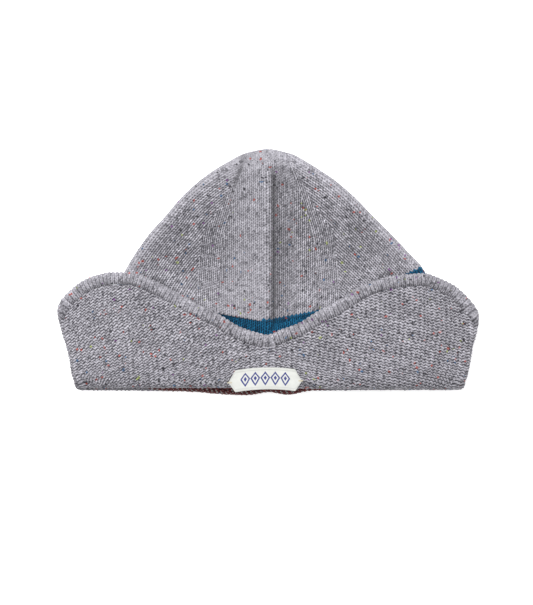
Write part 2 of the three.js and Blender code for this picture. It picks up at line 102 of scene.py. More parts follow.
HASH_RATES = (12.9898, 78.233)
HASH_SCALE = 43758.5453
WAVES = 7
WAVE_RATES = (0.05, 0.5)
WAVE_SHIFT = 6.3
LEAST_LENGTH = 1e-9
NEAR_ZERO = 1e-6
FAR_BELOW = -1e3
TOP_FROM = 120                  # from here up the crown's outline closes over the top
PATCH_RANGE = (0.3, 0.7)        # values of a noise between which most of it lies


def chance(first: np.ndarray, second: np.ndarray) -> np.ndarray:
    """Return a fixed chance value from 0 to 1 for each pair of numbers."""
    mixed = np.sin(first * HASH_RATES[0] + second * HASH_RATES[1]) * HASH_SCALE
    return mixed - np.floor(mixed)


def drift(first: np.ndarray, second: np.ndarray, seed: int) -> np.ndarray:
    """Add slow random waves over two numbers.

    Args:
        first: one number of each place.
        second: the other number of each place.
        seed: picks the waves.

    Returns:
        A value of about -1 to 1 for each place.
    """
    draw = np.random.default_rng(seed)
    total = np.zeros(np.broadcast(first, second).shape)
    for _ in range(WAVES):
        rate = draw.uniform(*WAVE_RATES, 2)
        way = draw.choice([-1, 1])
        total += np.sin(first * rate[0] + second * rate[1] * way + draw.uniform(0, WAVE_SHIFT))
    return total / (WAVES / 2)


def smooth_step(low: float, high: float, at: np.ndarray) -> np.ndarray:
    """Return a smooth rise from 0 to 1 between two values."""
    s = np.clip((np.asarray(at, float) - low) / (high - low), 0, 1)
    return s * s * (3 - 2 * s)


def stretch(low: float, full: float, fade: float, end: float, at: np.ndarray) -> np.ndarray:
    """Return a share that rises from 0 to 1, stays there and falls to 0 again."""
    return smooth_step(low, full, at) * (1 - smooth_step(fade, end, at))


def bell(distance: np.ndarray, reach: float) -> np.ndarray:
    """Return a bell curve that is 1 at distance 0 and fades over the reach."""
    return np.exp(-((np.asarray(distance, float) / reach) ** 2))


def wave(turns: np.ndarray) -> np.ndarray:
    """Return a wave from 0 to 1 that is 1 at whole numbers."""
    return 0.5 + 0.5 * np.cos(2 * math.pi * turns)


def unit(vectors: np.ndarray) -> np.ndarray:
    """Return vectors scaled to length 1."""
    return vectors / np.maximum(np.linalg.norm(vectors, axis=-1, keepdims=True), LEAST_LENGTH)


class Curve:
    """Smooth curve through the points of a table, without overshoot."""

    def __init__(self, at: list[float], value: list[float]) -> None:
        """Keep the points and work out the slope at each.

        Args:
            at: rising places along the curve.
            value: the value at each place.
        """
        self.at = np.array(at, float)
        self.value = np.array(value, float)
        rate = np.diff(self.value) / np.diff(self.at)
        before, after = rate[:-1], rate[1:]
        same_way = before * after > 0
        total = np.where(same_way, before + after, 1)
        self.slope = np.zeros(len(self.at))
        self.slope[1:-1] = np.where(same_way, 2 * before * after / total, 0)

    def __call__(self, x: np.ndarray) -> np.ndarray:
        """Read the curve, which is held level past both ends.

        Args:
            x: the places to read it at.

        Returns:
            The curve's value at each place.
        """
        x = np.clip(np.asarray(x, float), self.at[0], self.at[-1])
        k = np.clip(np.searchsorted(self.at, x, side="right") - 1, 0, len(self.at) - 2)
        span = self.at[k + 1] - self.at[k]
        s = (x - self.at[k]) / span
        rest = 1 - s
        return (self.value[k] * (1 + 2 * s) * rest**2 + self.slope[k] * span * s * rest**2
                + self.value[k + 1] * s * s * (3 - 2 * s) - self.slope[k + 1] * span * s * s * rest)


@dataclass(frozen=True)
class Dent:
    """A shallow hollow or swelling of the front panel."""

    across: float
    up: float
    reach: float
    rise: float


@dataclass(frozen=True)
class ShadePatch:
    """A soft patch of a panel painted darker or lighter, as painted shade and light of its gentle
    undulations.
    """

    across: float
    up: float
    reach_across: float
    reach_up: float
    amount: float

    def at(self, place: np.ndarray) -> np.ndarray:
        """Return how much lighter each place is."""
        near_across = bell(place[..., 0] - self.across, self.reach_across)
        return self.amount * near_across * bell(place[..., 1] - self.up, self.reach_up)


@dataclass(frozen=True)
class Crease:
    """The step beside the middle of the front panel: a ridge and, right of it, a valley."""

    ridge: float = 1.1
    ridge_reach: float = 16.0
    valley: float = 4.0
    valley_reach: float = 12.0
    width: float = 3.2
    begin: float = 34.0
    fade_in: float = 14.0
    end: float = 156.0
    fade_out: float = 22.0

    def rise(self, across: np.ndarray, up: np.ndarray) -> np.ndarray:
        """Work out the height that the step adds to the front panel.

        Args:
            across: places across the panel.
            up: their distances from the rim.

        Returns:
            The added height at each place.
        """
        off = across - CREASE_ACROSS
        to_right = smooth_step(-self.width, self.width, off)
        full, fade = self.begin + self.fade_in, self.end - self.fade_out
        strength = stretch(self.begin, full, fade, self.end, up)
        ridge = self.ridge * bell(off, self.ridge_reach) * (1 - to_right)
        valley = self.valley * bell(off, self.valley_reach) * to_right
        return strength * (ridge - valley)


OUTLINE_UP = [3.8, 20, 40, 60, 82, 94, 106, 118, 130.5, 142.5, 150.5, 154.6, 158.6, 161.4, 162.6]
OUTLINE_LEFT = [125, 122, 115, 106.5, 95.4, 88, 79.3, 68.5, 57.8, 44.4, 32.9, 25.5, 18.1, 8.5, 0]
OUTLINE_RIGHT = [127.4, 123, 118.5, 113, 104.2, 93.4, 82, 70, 57.8, 43.7, 31.6, 24.9, 17.5, 8, 0]


@dataclass
class CrownShape:
    """Mid-wall surface of the crown as it lies: two panels joined by round side folds."""

    swell_reach: float = 38.0
    shift_fade: float = 14.0
    crease: Crease = Crease()
    dents: tuple[Dent, ...] = (
        Dent(-34, 138, 17, -1.3),
        Dent(-62, 96, 24, -1.0),
        Dent(48, 116, 22, -1.2),
        Dent(66, 84, 20, 0.8),
        Dent(26, 70, 16, 0.6),
    )

    def __post_init__(self) -> None:
        """Read the tables of the outline and of how the panels lie."""
        self.half = {-1: self._inset(OUTLINE_LEFT), 1: self._inset(OUTLINE_RIGHT)}
        self.back = Curve([3.8, 10, 16, 30, 37, 50, 64, 82, 96, 120],
                          [6.3, 4.8, 4.5, 4.7, 5.8, 5.8, 4, 1.8, HALF_WALL, HALF_WALL])
        self.swell = Curve([3.8, 10, 16, 30, 37, 64, 82, 96, 120, 142, 154, 162.6],
                           [12, 12.6, 13, 13.8, 14, 14, 13.6, 12.8, 10, 6, 3, 0])
        across = [-125, -60, -15, 1, 13, 30, 70, 125]
        self.shift = {
            True: Curve(across, [2.3, 3.0, 3.2, 3.3, 3.1, 2.6, 2.2, 1.7]),
            False: Curve(across, [0.5, -0.2, -2.9, -0.9, -2.6, 0.2, 0.5, 0.7]),
        }

    @staticmethod
    def _inset(half: list[float]) -> Curve:
        """Move an outline in by half a wall, so that it runs at mid-wall.

        Args:
            half: the half width at each height of the outline.

        Returns:
            The half width at mid-wall, over the height.
        """
        up = np.array(OUTLINE_UP, float)
        half_width = np.array(half, float)
        before = np.maximum(np.arange(len(up)) - 1, 0)
        after = np.minimum(np.arange(len(up)) + 1, len(up) - 1)
        run = up[after] - up[before]
        drop = half_width[before] - half_width[after]
        run[-1] = 0
        drop[0] = 0
        length = np.hypot(run, drop)
        return Curve(up - HALF_WALL * drop / length, half_width - HALF_WALL * run / length)

    def half_at(self, side: np.ndarray, up: np.ndarray) -> np.ndarray:
        """Return the half width at mid-wall.

        Args:
            side: -1 for the left and 1 for the right.
            up: distance from the rim.

        Returns:
            The distance from the middle to the side fold.
        """
        side, up = np.broadcast_arrays(np.asarray(side), np.asarray(up, float))
        result = np.zeros(up.shape)
        for hand, curve in self.half.items():
            lower_up, lower_half, top = curve.at[-2], curve.value[-2], curve.at[-1]
            round_end = lower_half * np.sqrt(np.clip((top - up) / (top - lower_up), 0, 1))
            value = np.where(up > lower_up, round_end, curve(up))
            result = np.where(np.sign(side) == hand, value, result)
        return result

    def top_at(self, across: np.ndarray) -> np.ndarray:
        """Find how far up the outline lies near the middle.

        Args:
            across: places across the top.

        Returns:
            The distance from the rim to the outline at each place.
        """
        up = np.linspace(TOP_FROM, TOP_UP, 400)
        left = -self.half_at(-1, up)
        right = self.half_at(1, up)[::-1]
        return np.interp(across, np.r_[left, right[1:]], np.r_[up, up[::-1][1:]])

    def shift_at(self, across: np.ndarray, up: np.ndarray, front: np.ndarray) -> np.ndarray:
        """Return how far up the rim fold stands off its straight line at each place."""
        amount = np.where(front, self.shift[True](across), self.shift[False](across))
        return amount * np.exp(-np.maximum(up - RIM_UP, 0) / self.shift_fade)

    def front_relief(self, across: np.ndarray, up: np.ndarray, from_fold: np.ndarray) -> np.ndarray:
        """Add the front panel's swelling, crease and dents.

        Args:
            across: places across the panel.
            up: their distances from the rim.
            from_fold: their distances from the side fold.

        Returns:
            The added height at each place.
        """
        from_fold = np.maximum(from_fold, 0)
        rise = self.swell(up) * (1 - bell(from_fold, self.swell_reach))
        rise = rise + self.crease.rise(across, up)
        inland = 1 - bell(from_fold, SIDE_TURN * 3)
        for dent in self.dents:
            near = bell(np.hypot(across - dent.across, up - dent.up), dent.reach)
            rise = rise + inland * dent.rise * near
        return rise

    def from_fold(self, across: np.ndarray, up: np.ndarray) -> np.ndarray:
        """Return how far inside the side fold's start each place lies."""
        return self.half_at(np.where(across < 0, -1, 1), up) - SIDE_TURN - np.abs(across)

    def front_height(self, across: np.ndarray, up: np.ndarray) -> np.ndarray:
        """Return the height of the front panel inside its side folds."""
        from_fold = self.from_fold(across, up)
        return self.back(up) + 2 * SIDE_TURN + self.front_relief(across, up, from_fold)

    def draped_height(self, across: np.ndarray, up: np.ndarray) -> np.ndarray:
        """Find the front panel's height, with its side folds.

        Args:
            across: places across the hat.
            up: their distances from the rim.

        Returns:
            The height at each place, and one far below the floor outside the crown.
        """
        from_fold = self.from_fold(across, up)
        in_turn = SIDE_TURN**2 - from_fold**2
        rounded = self.back(up) + SIDE_TURN + np.sqrt(np.maximum(in_turn, 0))
        outside = np.where(in_turn > 0, rounded, FAR_BELOW)
        return np.where(from_fold >= 0, self.front_height(across, up), outside)


def ring_place(half: np.ndarray, turn: np.ndarray,
               radius: np.ndarray) -> tuple[np.ndarray, np.ndarray]:
    """Find a place across a flattened ring: straight to the side fold, then round it.

    Args:
        half: half width of the ring.
        turn: 0 at the front's middle, 1 at the side fold, 2 at the back's middle.
        radius: radius of the side fold.

    Returns:
        The distance from the middle and the angle round the fold, 0 on a panel.
    """
    share = np.where(turn > 1, 2 - turn, turn)
    flat = half - radius
    along = share * (flat + radius * math.pi / 2)
    angle = np.maximum((along - flat) / radius, 0)
    across = np.where(along <= flat, along, half - radius + radius * np.sin(angle))
    return across, angle


@dataclass
class Cloth:
    """A sheet of stitches: mid-wall places in rows and columns, and each one's stitch.

    The wale and course count stitches. The dye is above 0 where the second shade shows, the
    tint darkens, mostly with painted shade, the slack opens the gaps, which hold painted shade,
    and the lean tips a reverse stitch over.
    """

    LAID: ClassVar[tuple[str, ...]] = ("place", "wale", "course")
    SPREAD: ClassVar[tuple[str, ...]] = ("dye", "tint", "slack", "lean")

    place: np.ndarray
    wale: np.ndarray
    course: np.ndarray
    coarse_columns: list[int]
    dye: np.ndarray | float = UNDYED
    tint: np.ndarray | float = 1.0
    slack: np.ndarray | float = 0.0
    lean: np.ndarray | float = 0.0

    def __post_init__(self) -> None:
        """Spread the single values over the whole sheet."""
        for name in self.SPREAD:
            value = np.asarray(getattr(self, name), float)
            setattr(self, name, np.broadcast_to(value, self.wale.shape))

    def rows(self, first: int, last: int) -> "Cloth":
        """Return the sheet's rows from first to last, both kept."""
        kept = {name: getattr(self, name)[first:last + 1] for name in self.SPREAD + self.LAID}
        return Cloth(coarse_columns=self.coarse_columns, **kept)


class Stretch(Enum):
    """The kinds of stretch that a course of the crown is laid in."""

    STRIP = "strip"
    NARROW = "narrow gore"
    WIDE = "wide gore"


@dataclass(frozen=True)
class Panel:
    """One stretch of a course: its kind, its side, and the way in which it is laid."""

    stretch: Stretch
    side: int
    front: bool
    backwards: bool


PANELS = (
    Panel(Stretch.NARROW, -1, True, True),
    Panel(Stretch.STRIP, 0, True, False),
    Panel(Stretch.NARROW, 1, True, False),
    Panel(Stretch.WIDE, 1, True, True),
    Panel(Stretch.WIDE, 1, False, False),
    Panel(Stretch.NARROW, 1, False, True),
    Panel(Stretch.STRIP, 0, False, True),
    Panel(Stretch.NARROW, -1, False, False),
    Panel(Stretch.WIDE, -1, False, True),
    Panel(Stretch.WIDE, -1, True, False),
)


@dataclass(frozen=True)
class Dart:
    """A short dark line where two decrease lines meet near the top."""

    across: float = -22.0
    up: float = 138.0
    slant: float = 0.32
    width: float = 1.6
    middle: float = 8.0
    reach: float = 12.0

    def at(self, place: np.ndarray) -> np.ndarray:
        """Return how near the line each place lies, from 0 to 1."""
        off = place[..., 0] - (self.across + (place[..., 1] - self.up) * self.slant)
        return bell(off, self.width) * bell(place[..., 1] - self.up - self.middle, self.reach)


@dataclass
class CrownKnit:
    """Lays the crown's wales and courses over its shape.

    A middle strip runs over the closed top from front to back. Beside it, on each side, a
    narrow and a wide gore meet it at slanted lines, where their wales end as the knitting
    gets narrower. The wide gore's wales follow the outline.
    """

    shape: CrownShape
    wale_pitch: float = 2.69
    side_wale_pitch: float = 3.1
    course_pitch: float = 1.98
    first_middle: float = 45.9
    first_rise: tuple[float, float] = (0.18, 0.2)
    first_round: float = 3.0
    side_first_up: tuple[float, float] = (75.5, 81.3)
    gore_slope: float = 0.28
    gore_slant: float = 1.04
    widest_gore: float = 80.0
    close_from: float = 157.0
    jog_across: float = -4.7
    uneven: float = 0.12
    # painted shade of the crease: its valley side and a dark line along the valley
    wear_and_painted_shade: float = 0.42
    crease_shade_reach: float = 15.0
    crease_shade_up: tuple[float, ...] = (38, 52, 140, 158)
    line_up: tuple[float, ...] = (38, 50, 140, 156)
    line: float = 0.18
    line_off: float = 1.6
    line_reach: float = 1.5
    dart: Dart = Dart()
    dart_tint: float = 0.35
    shade_patch_tint: float = 0.08
    shade_patch_slack: float = 1.6
    side_slack: float = 0.16
    side_across: tuple[float, float] = (38, 60)
    flat_across: float = -16.0
    flat_reach: float = 17.0
    flat_slack: float = 0.4
    flat_tint: float = 0.29
    # painted highlight along the outline: fewer open gaps near the edge, with the tone a little
    # darker
    edge_slack: float = 0.6
    edge_reach: float = 8.0
    edge_tint: float = 0.14
    band_slack: float = 0.1
    # soft patches of painted shade on the front panel, through the tint and more open gaps
    patches: tuple[ShadePatch, ...] = (
        ShadePatch(-36, 116, 18, 34, -0.3),
        ShadePatch(-62, 94, 24, 22, -0.22),
        ShadePatch(30, 115, 24, 34, -0.24),
        ShadePatch(60, 102, 16, 16, -0.16),
    )

    def __post_init__(self) -> None:
        """Work out the number of courses, where the gores meet and the outline."""
        run = TOP_UP - SIDE_TURN - self.first_up(np.array(0.0)) + QUARTER_FOLD
        self.courses = int(round(float(run) / self.course_pitch))
        self.strip_edge = Curve([0, 0.45, 0.72, 0.83, 1], [33, 30.5, 23, 19, 12.5])
        self.gore_edge = Curve([0, 0.45, 0.65, 0.83, 1], [47, 44, 33, 22, 12.51])
        closing = TOP_UP - (TOP_UP - self.close_from) * np.linspace(1, 0, 90) ** 2
        up = np.r_[np.linspace(RIM_UP, self.close_from, 320), closing]
        self.outline = {side: np.c_[side * self.shape.half_at(side, up), up] for side in SIDES}

    def first_up(self, across: np.ndarray) -> np.ndarray:
        """Return the height of the crown's first course above the blue stripe."""
        rise = np.where(across < 0, *self.first_rise)
        return self.first_middle + rise * np.sqrt(across**2 + self.first_round**2)

    def side_end(self, side: int, share: float) -> np.ndarray:
        """Find where a course meets the side fold, evenly spaced along the outline.

        Args:
            side: -1 for the left and 1 for the right.
            share: 0 at the first course and 1 on the top fold.

        Returns:
            The place, across and up.
        """
        outline = self.outline[side]
        along = np.r_[0, np.cumsum(np.hypot(*np.diff(outline, axis=0).T))]
        begin = np.interp(self.side_first_up[side > 0], outline[:, 1], along)
        end = along[int(np.argmin(np.abs(np.abs(outline[:, 0]) - self.strip_edge(1))))]
        at = begin + (end - begin) * share
        return np.array([np.interp(at, along, column) for column in outline.T])

    def strip_point(self, across: np.ndarray, share: float, front: bool) -> np.ndarray:
        """Find points of the middle strip.

        Args:
            across: places across the strip.
            share: 0 at the first course and 1 on the top fold.
            front: whether the front panel is meant.

        Returns:
            Rows of across, up and height.
        """
        first, top = self.first_up(across), self.shape.top_at(across)
        flat = top - SIDE_TURN - first
        along = share * (flat + QUARTER_FOLD)
        angle = np.clip((along - flat) / SIDE_TURN, 0, math.pi / 2)
        up = np.where(along < flat, first + along, top - SIDE_TURN + SIDE_TURN * np.sin(angle))
        centre = self.shape.back(up) + SIDE_TURN
        lie = SIDE_TURN * np.cos(angle)
        if front:
            lie = lie + self.shape.front_height(across, up) - centre - SIDE_TURN
        else:
            lie = -lie
        return np.stack([across, up, centre + lie], axis=-1)

    def side_height(self, plan: np.ndarray, inset: np.ndarray, front: bool) -> np.ndarray:
        """Find the height of gore points, rounded towards the side fold.

        Args:
            plan: places of a gore, across and up.
            inset: their distances inside the outline.
            front: whether the front panel is meant.

        Returns:
            The height at each place.
        """
        across, up = plan[:, 0], plan[:, 1]
        centre = self.shape.back(up) + SIDE_TURN
        lie = np.sqrt(np.clip(SIDE_TURN**2 - np.maximum(SIDE_TURN - inset, 0) ** 2, 0, None))
        if not front:
            return centre - lie
        flat = self.shape.front_height(across, up) - centre - SIDE_TURN
        return centre + lie + flat * smooth_step(0, SIDE_TURN, inset)

    def gore_rows(self, side: int, share: float, front: bool, counts: dict[Stretch, int],
                  ) -> dict[Stretch, tuple[np.ndarray, np.ndarray]]:
        """Lay one course across a narrow and a wide gore, from the strip to the side fold.

        Args:
            side: -1 for the left and 1 for the right.
            share: 0 at the first course and 1 on the top fold.
            front: whether the front panel is meant.
            counts: samples across each kind of stretch.

        Returns:
            Points and wale numbers of each gore, by its kind.
        """
        edge = float(self.strip_edge(share)) * side
        start = self.strip_point(np.array([edge]), share, front)[0]
        outline = self.outline[side]
        gap = max(abs(float(self.gore_edge(share))) - abs(edge), 0.01)
        seam = np.array([edge + side * gap, start[1] + gap * self.gore_slope])
        nearest = self.side_end(side, share)
        inset_end = float(np.hypot(*(nearest - seam)))
        length = np.hypot(gap, gap * self.gore_slope)
        steps = self.samples(counts[Stretch.NARROW], self.wale_pitch, length)
        narrow_plan = start[:2] + (seam - start[:2]) * (steps / length)[:, None]
        narrow_inset = np.array([np.hypot(*(outline - p).T).min() for p in narrow_plan])
        narrow = np.c_[narrow_plan, self.side_height(narrow_plan, narrow_inset, front)]
        narrow += (start - narrow[0]) * (1 - steps / length)[:, None]
        turn_end = SIDE_TURN * math.acos(max(1 - inset_end / SIDE_TURN, 0))
        if inset_end > SIDE_TURN:
            turn_end = QUARTER_FOLD + inset_end - SIDE_TURN
        around = self.samples(counts[Stretch.WIDE], self.side_wale_pitch, turn_end)
        bend = np.minimum(around / SIDE_TURN, math.pi / 2)
        inset = SIDE_TURN * (1 - np.cos(bend)) + np.maximum(around - QUARTER_FOLD, 0)
        inward = (seam - nearest) / max(inset_end, NEAR_ZERO)
        wide_plan = nearest + inward * inset[:, None]
        wide = np.c_[wide_plan, self.side_height(wide_plan, inset, front)]
        wide += (narrow[-1] - wide[-1]) * (around / max(turn_end, NEAR_ZERO))[:, None] ** 2
        return {Stretch.NARROW: (narrow, steps / self.wale_pitch),
                Stretch.WIDE: (wide, around / self.side_wale_pitch)}

    @staticmethod
    def samples(count: int, pitch: float, end: float) -> np.ndarray:
        """Space a stretch's samples by its wales, and gather the spare ones at its end.

        Args:
            count: number of samples.
            pitch: width of a wale.
            end: length of the stretch.

        Returns:
            The distance of each sample, the last one at the end.
        """
        steps = np.minimum(np.arange(count) * pitch / PER_STITCH, end)
        steps[-1] = end
        return steps

    def _ring(self, share: float, counts: dict[Stretch, int]) -> tuple[np.ndarray, np.ndarray]:
        """Lay one whole course round the crown, starting at the left gore's front.

        Args:
            share: 0 at the first course and 1 on the top fold.
            counts: samples across each kind of stretch.

        Returns:
            The course's points and their wale numbers.
        """
        edge, count = float(self.strip_edge(share)), counts[Stretch.STRIP]
        samples = (np.arange(count) - count // 2) * self.wale_pitch / PER_STITCH
        across = np.clip(samples, -edge, edge)
        across[0], across[-1] = -edge, edge
        laid = {}
        for front in (True, False):
            points = self.strip_point(across, share, front)
            laid[Stretch.STRIP, 0, front] = (points, across / self.wale_pitch)
            for side in SIDES:
                for kind, gore in self.gore_rows(side, share, front, counts).items():
                    laid[kind, side, front] = gore
        places, wales = [], []
        for panel in PANELS:
            points, wale = laid[panel.stretch, panel.side, panel.front]
            step = -1 if panel.backwards else 1
            places.append(points[::step])
            wales.append(wale[::step])
        return np.concatenate(places), np.concatenate(wales)

    def _counts(self) -> dict[Stretch, int]:
        """Return how many samples each kind of stretch needs at its widest."""
        strip = 2 * math.ceil(float(self.strip_edge(0)) / self.wale_pitch)
        gap = float(self.gore_edge(0) - self.strip_edge(0)) * self.gore_slant
        wales = {Stretch.STRIP: strip, Stretch.NARROW: math.ceil(gap / self.wale_pitch),
                 Stretch.WIDE: math.ceil(self.widest_gore / self.side_wale_pitch)}
        return {kind: number * PER_STITCH + 1 for kind, number in wales.items()}

    def lay(self, lower_courses: int) -> tuple[Cloth, int]:
        """Lay every course, from the rim to the closed top.

        Args:
            lower_courses: number of courses between the rim and the crown's first course.

        Returns:
            The whole sheet, and the row at which the crown's first course begins.
        """
        counts = self._counts()
        shares = np.arange(self.courses * PER_STITCH + 1) / (self.courses * PER_STITCH)
        rings = [self._ring(float(share), counts) for share in shares]
        upper, wale = (np.stack(part) for part in zip(*rings))
        front = np.concatenate([np.full(counts[panel.stretch], panel.front) for panel in PANELS])
        lower = self._lower_rows(upper[0], front, lower_courses * PER_STITCH)
        place = np.concatenate([lower, upper])
        wale = np.concatenate([np.repeat(wale[:1], len(lower), axis=0), wale])
        course = (np.arange(len(place)) - len(lower)) / PER_STITCH
        course = np.repeat(course[:, None], place.shape[1], axis=1)
        place[..., 1] += self.shape.shift_at(place[..., 0], place[..., 1], front[None, :])
        jogged = front & (place[..., 0] > self.jog_across)
        dye = np.where(jogged, 1.0, 0.0) - course
        place[..., 2] += self.uneven * drift(wale, course, 3) * smooth_step(2, 14, place[..., 2])
        tint, slack = self.look(place, course, front)
        return Cloth(place, wale, course, self._coarse(counts), dye, tint, slack), len(lower)

    def look(self, place: np.ndarray, course: np.ndarray,
             front: np.ndarray) -> tuple[np.ndarray, np.ndarray]:
        """Work out how light each place looks and how open its gaps are, with painted shade in
        soft patches and a painted highlight along the outline.

        Args:
            place: the sheet's places.
            course: their course numbers.
            front: which columns lie in the front panel.

        Returns:
            The tint and the slack of each place.
        """
        patches = np.where(front, sum(patch.at(place) for patch in self.patches), 0)
        flat = np.where(front, bell(place[..., 0] - self.flat_across, self.flat_reach), 0)
        edge = self.near_edge(place)
        tint = self.tint(place, front) + self.shade_patch_tint * patches
        tint = tint - self.flat_tint * flat - self.edge_tint * edge
        slack = self.side_slack * smooth_step(*self.side_across, np.abs(place[..., 0]))
        slack = slack - self.shade_patch_slack * patches - self.flat_slack * flat - self.edge_slack * edge
        return tint, np.where(course < 0.5, self.band_slack, slack)

    def near_edge(self, place: np.ndarray) -> np.ndarray:
        """Find how near each place lies to the outline.

        Args:
            place: the sheet's places.

        Returns:
            A share from 0 inside to 1 at the edge, for each place.
        """
        across, up = place[..., 0], place[..., 1]
        inside = self.shape.half_at(np.where(across < 0, -1, 1), up) - np.abs(across)
        below = np.where(up > TOP_FROM, self.shape.top_at(across) - up, inside)
        return bell(np.maximum(np.minimum(inside, below), 0), self.edge_reach)

    def tint(self, place: np.ndarray, front: np.ndarray) -> np.ndarray:
        """Paint shade on the valley side of the crease and along its line, and darken the dart.

        Args:
            place: the sheet's places.
            front: which columns lie in the front panel.

        Returns:
            How light each place looks, 1 where nothing darkens it.
        """
        off, up = place[..., 0] - CREASE_ACROSS, place[..., 1]
        # painted shade on the crease's valley side
        wear_and_painted_shade = smooth_step(-1, 1, off) * bell(off, self.crease_shade_reach) * stretch(*self.crease_shade_up, up)
        line = bell(off - self.line_off, self.line_reach) * stretch(*self.line_up, up)
        shade = self.wear_and_painted_shade * wear_and_painted_shade + self.line * line + self.dart_tint * self.dart.at(place)
        return np.where(front, 1 - shade, 1.0)

    def _coarse(self, counts: dict[Stretch, int]) -> list[int]:
        """List one column a stitch, with both ends of each panel.

        Args:
            counts: samples across each kind of stretch.

        Returns:
            The column numbers.
        """
        columns, start = [], 0
        for panel in PANELS:
            end = start + counts[panel.stretch]
            columns += list(range(start, end, PER_STITCH))
            start = end
        return columns

    def _lower_rows(self, first: np.ndarray, front: np.ndarray, count: int) -> np.ndarray:
        """Lay the rows between the rim and the crown's first course.

        Args:
            first: the crown's first course.
            front: which columns lie in the front panel.
            count: number of rows to lay.

        Returns:
            The rows, the lowest one first.
        """
        across, up = first[:, 0], first[:, 1]
        side = np.where(across < 0, -1, 1)
        ends = {hand: up[side == hand][np.argmax(np.abs(across[side == hand]))] for hand in SIDES}
        side_first = np.where(side < 0, ends[-1], ends[1])
        half_first = self.shape.half_at(side, side_first)
        flat = half_first - SIDE_TURN
        beyond = np.clip(np.abs(across) - flat, 0, SIDE_TURN)
        bend = np.arcsin(np.clip(beyond / SIDE_TURN, 0, 1))
        along = np.where(np.abs(across) > flat, flat + SIDE_TURN * bend, np.abs(across))
        share = along / (flat + QUARTER_FOLD)
        turn = np.where(front, share, 2 - share)
        radius = np.full_like(half_first, SIDE_TURN)
        astray = across - side * ring_place(half_first, turn, radius)[0]
        rows = []
        for step in range(count):
            down = 1 - step / count
            row_up = up + (RIM_UP - up) * down
            half = self.shape.half_at(side, side_first + (RIM_UP - side_first) * down)
            place, angle = ring_place(half, turn, radius)
            x = side * place + astray * (1 - down)
            middle = self.shape.back(row_up) + SIDE_TURN
            lie = SIDE_TURN * np.cos(angle)
            from_fold = half - SIDE_TURN - place
            relief = self.shape.front_relief(x, row_up, from_fold)
            fade = np.where(angle > 0, 0, 1) * smooth_step(0, SIDE_TURN, from_fold)
            height = np.where(front, middle + lie + relief * fade, middle - lie)
            rows.append(np.stack([x, row_up, height], axis=-1))
        return np.stack(rows)


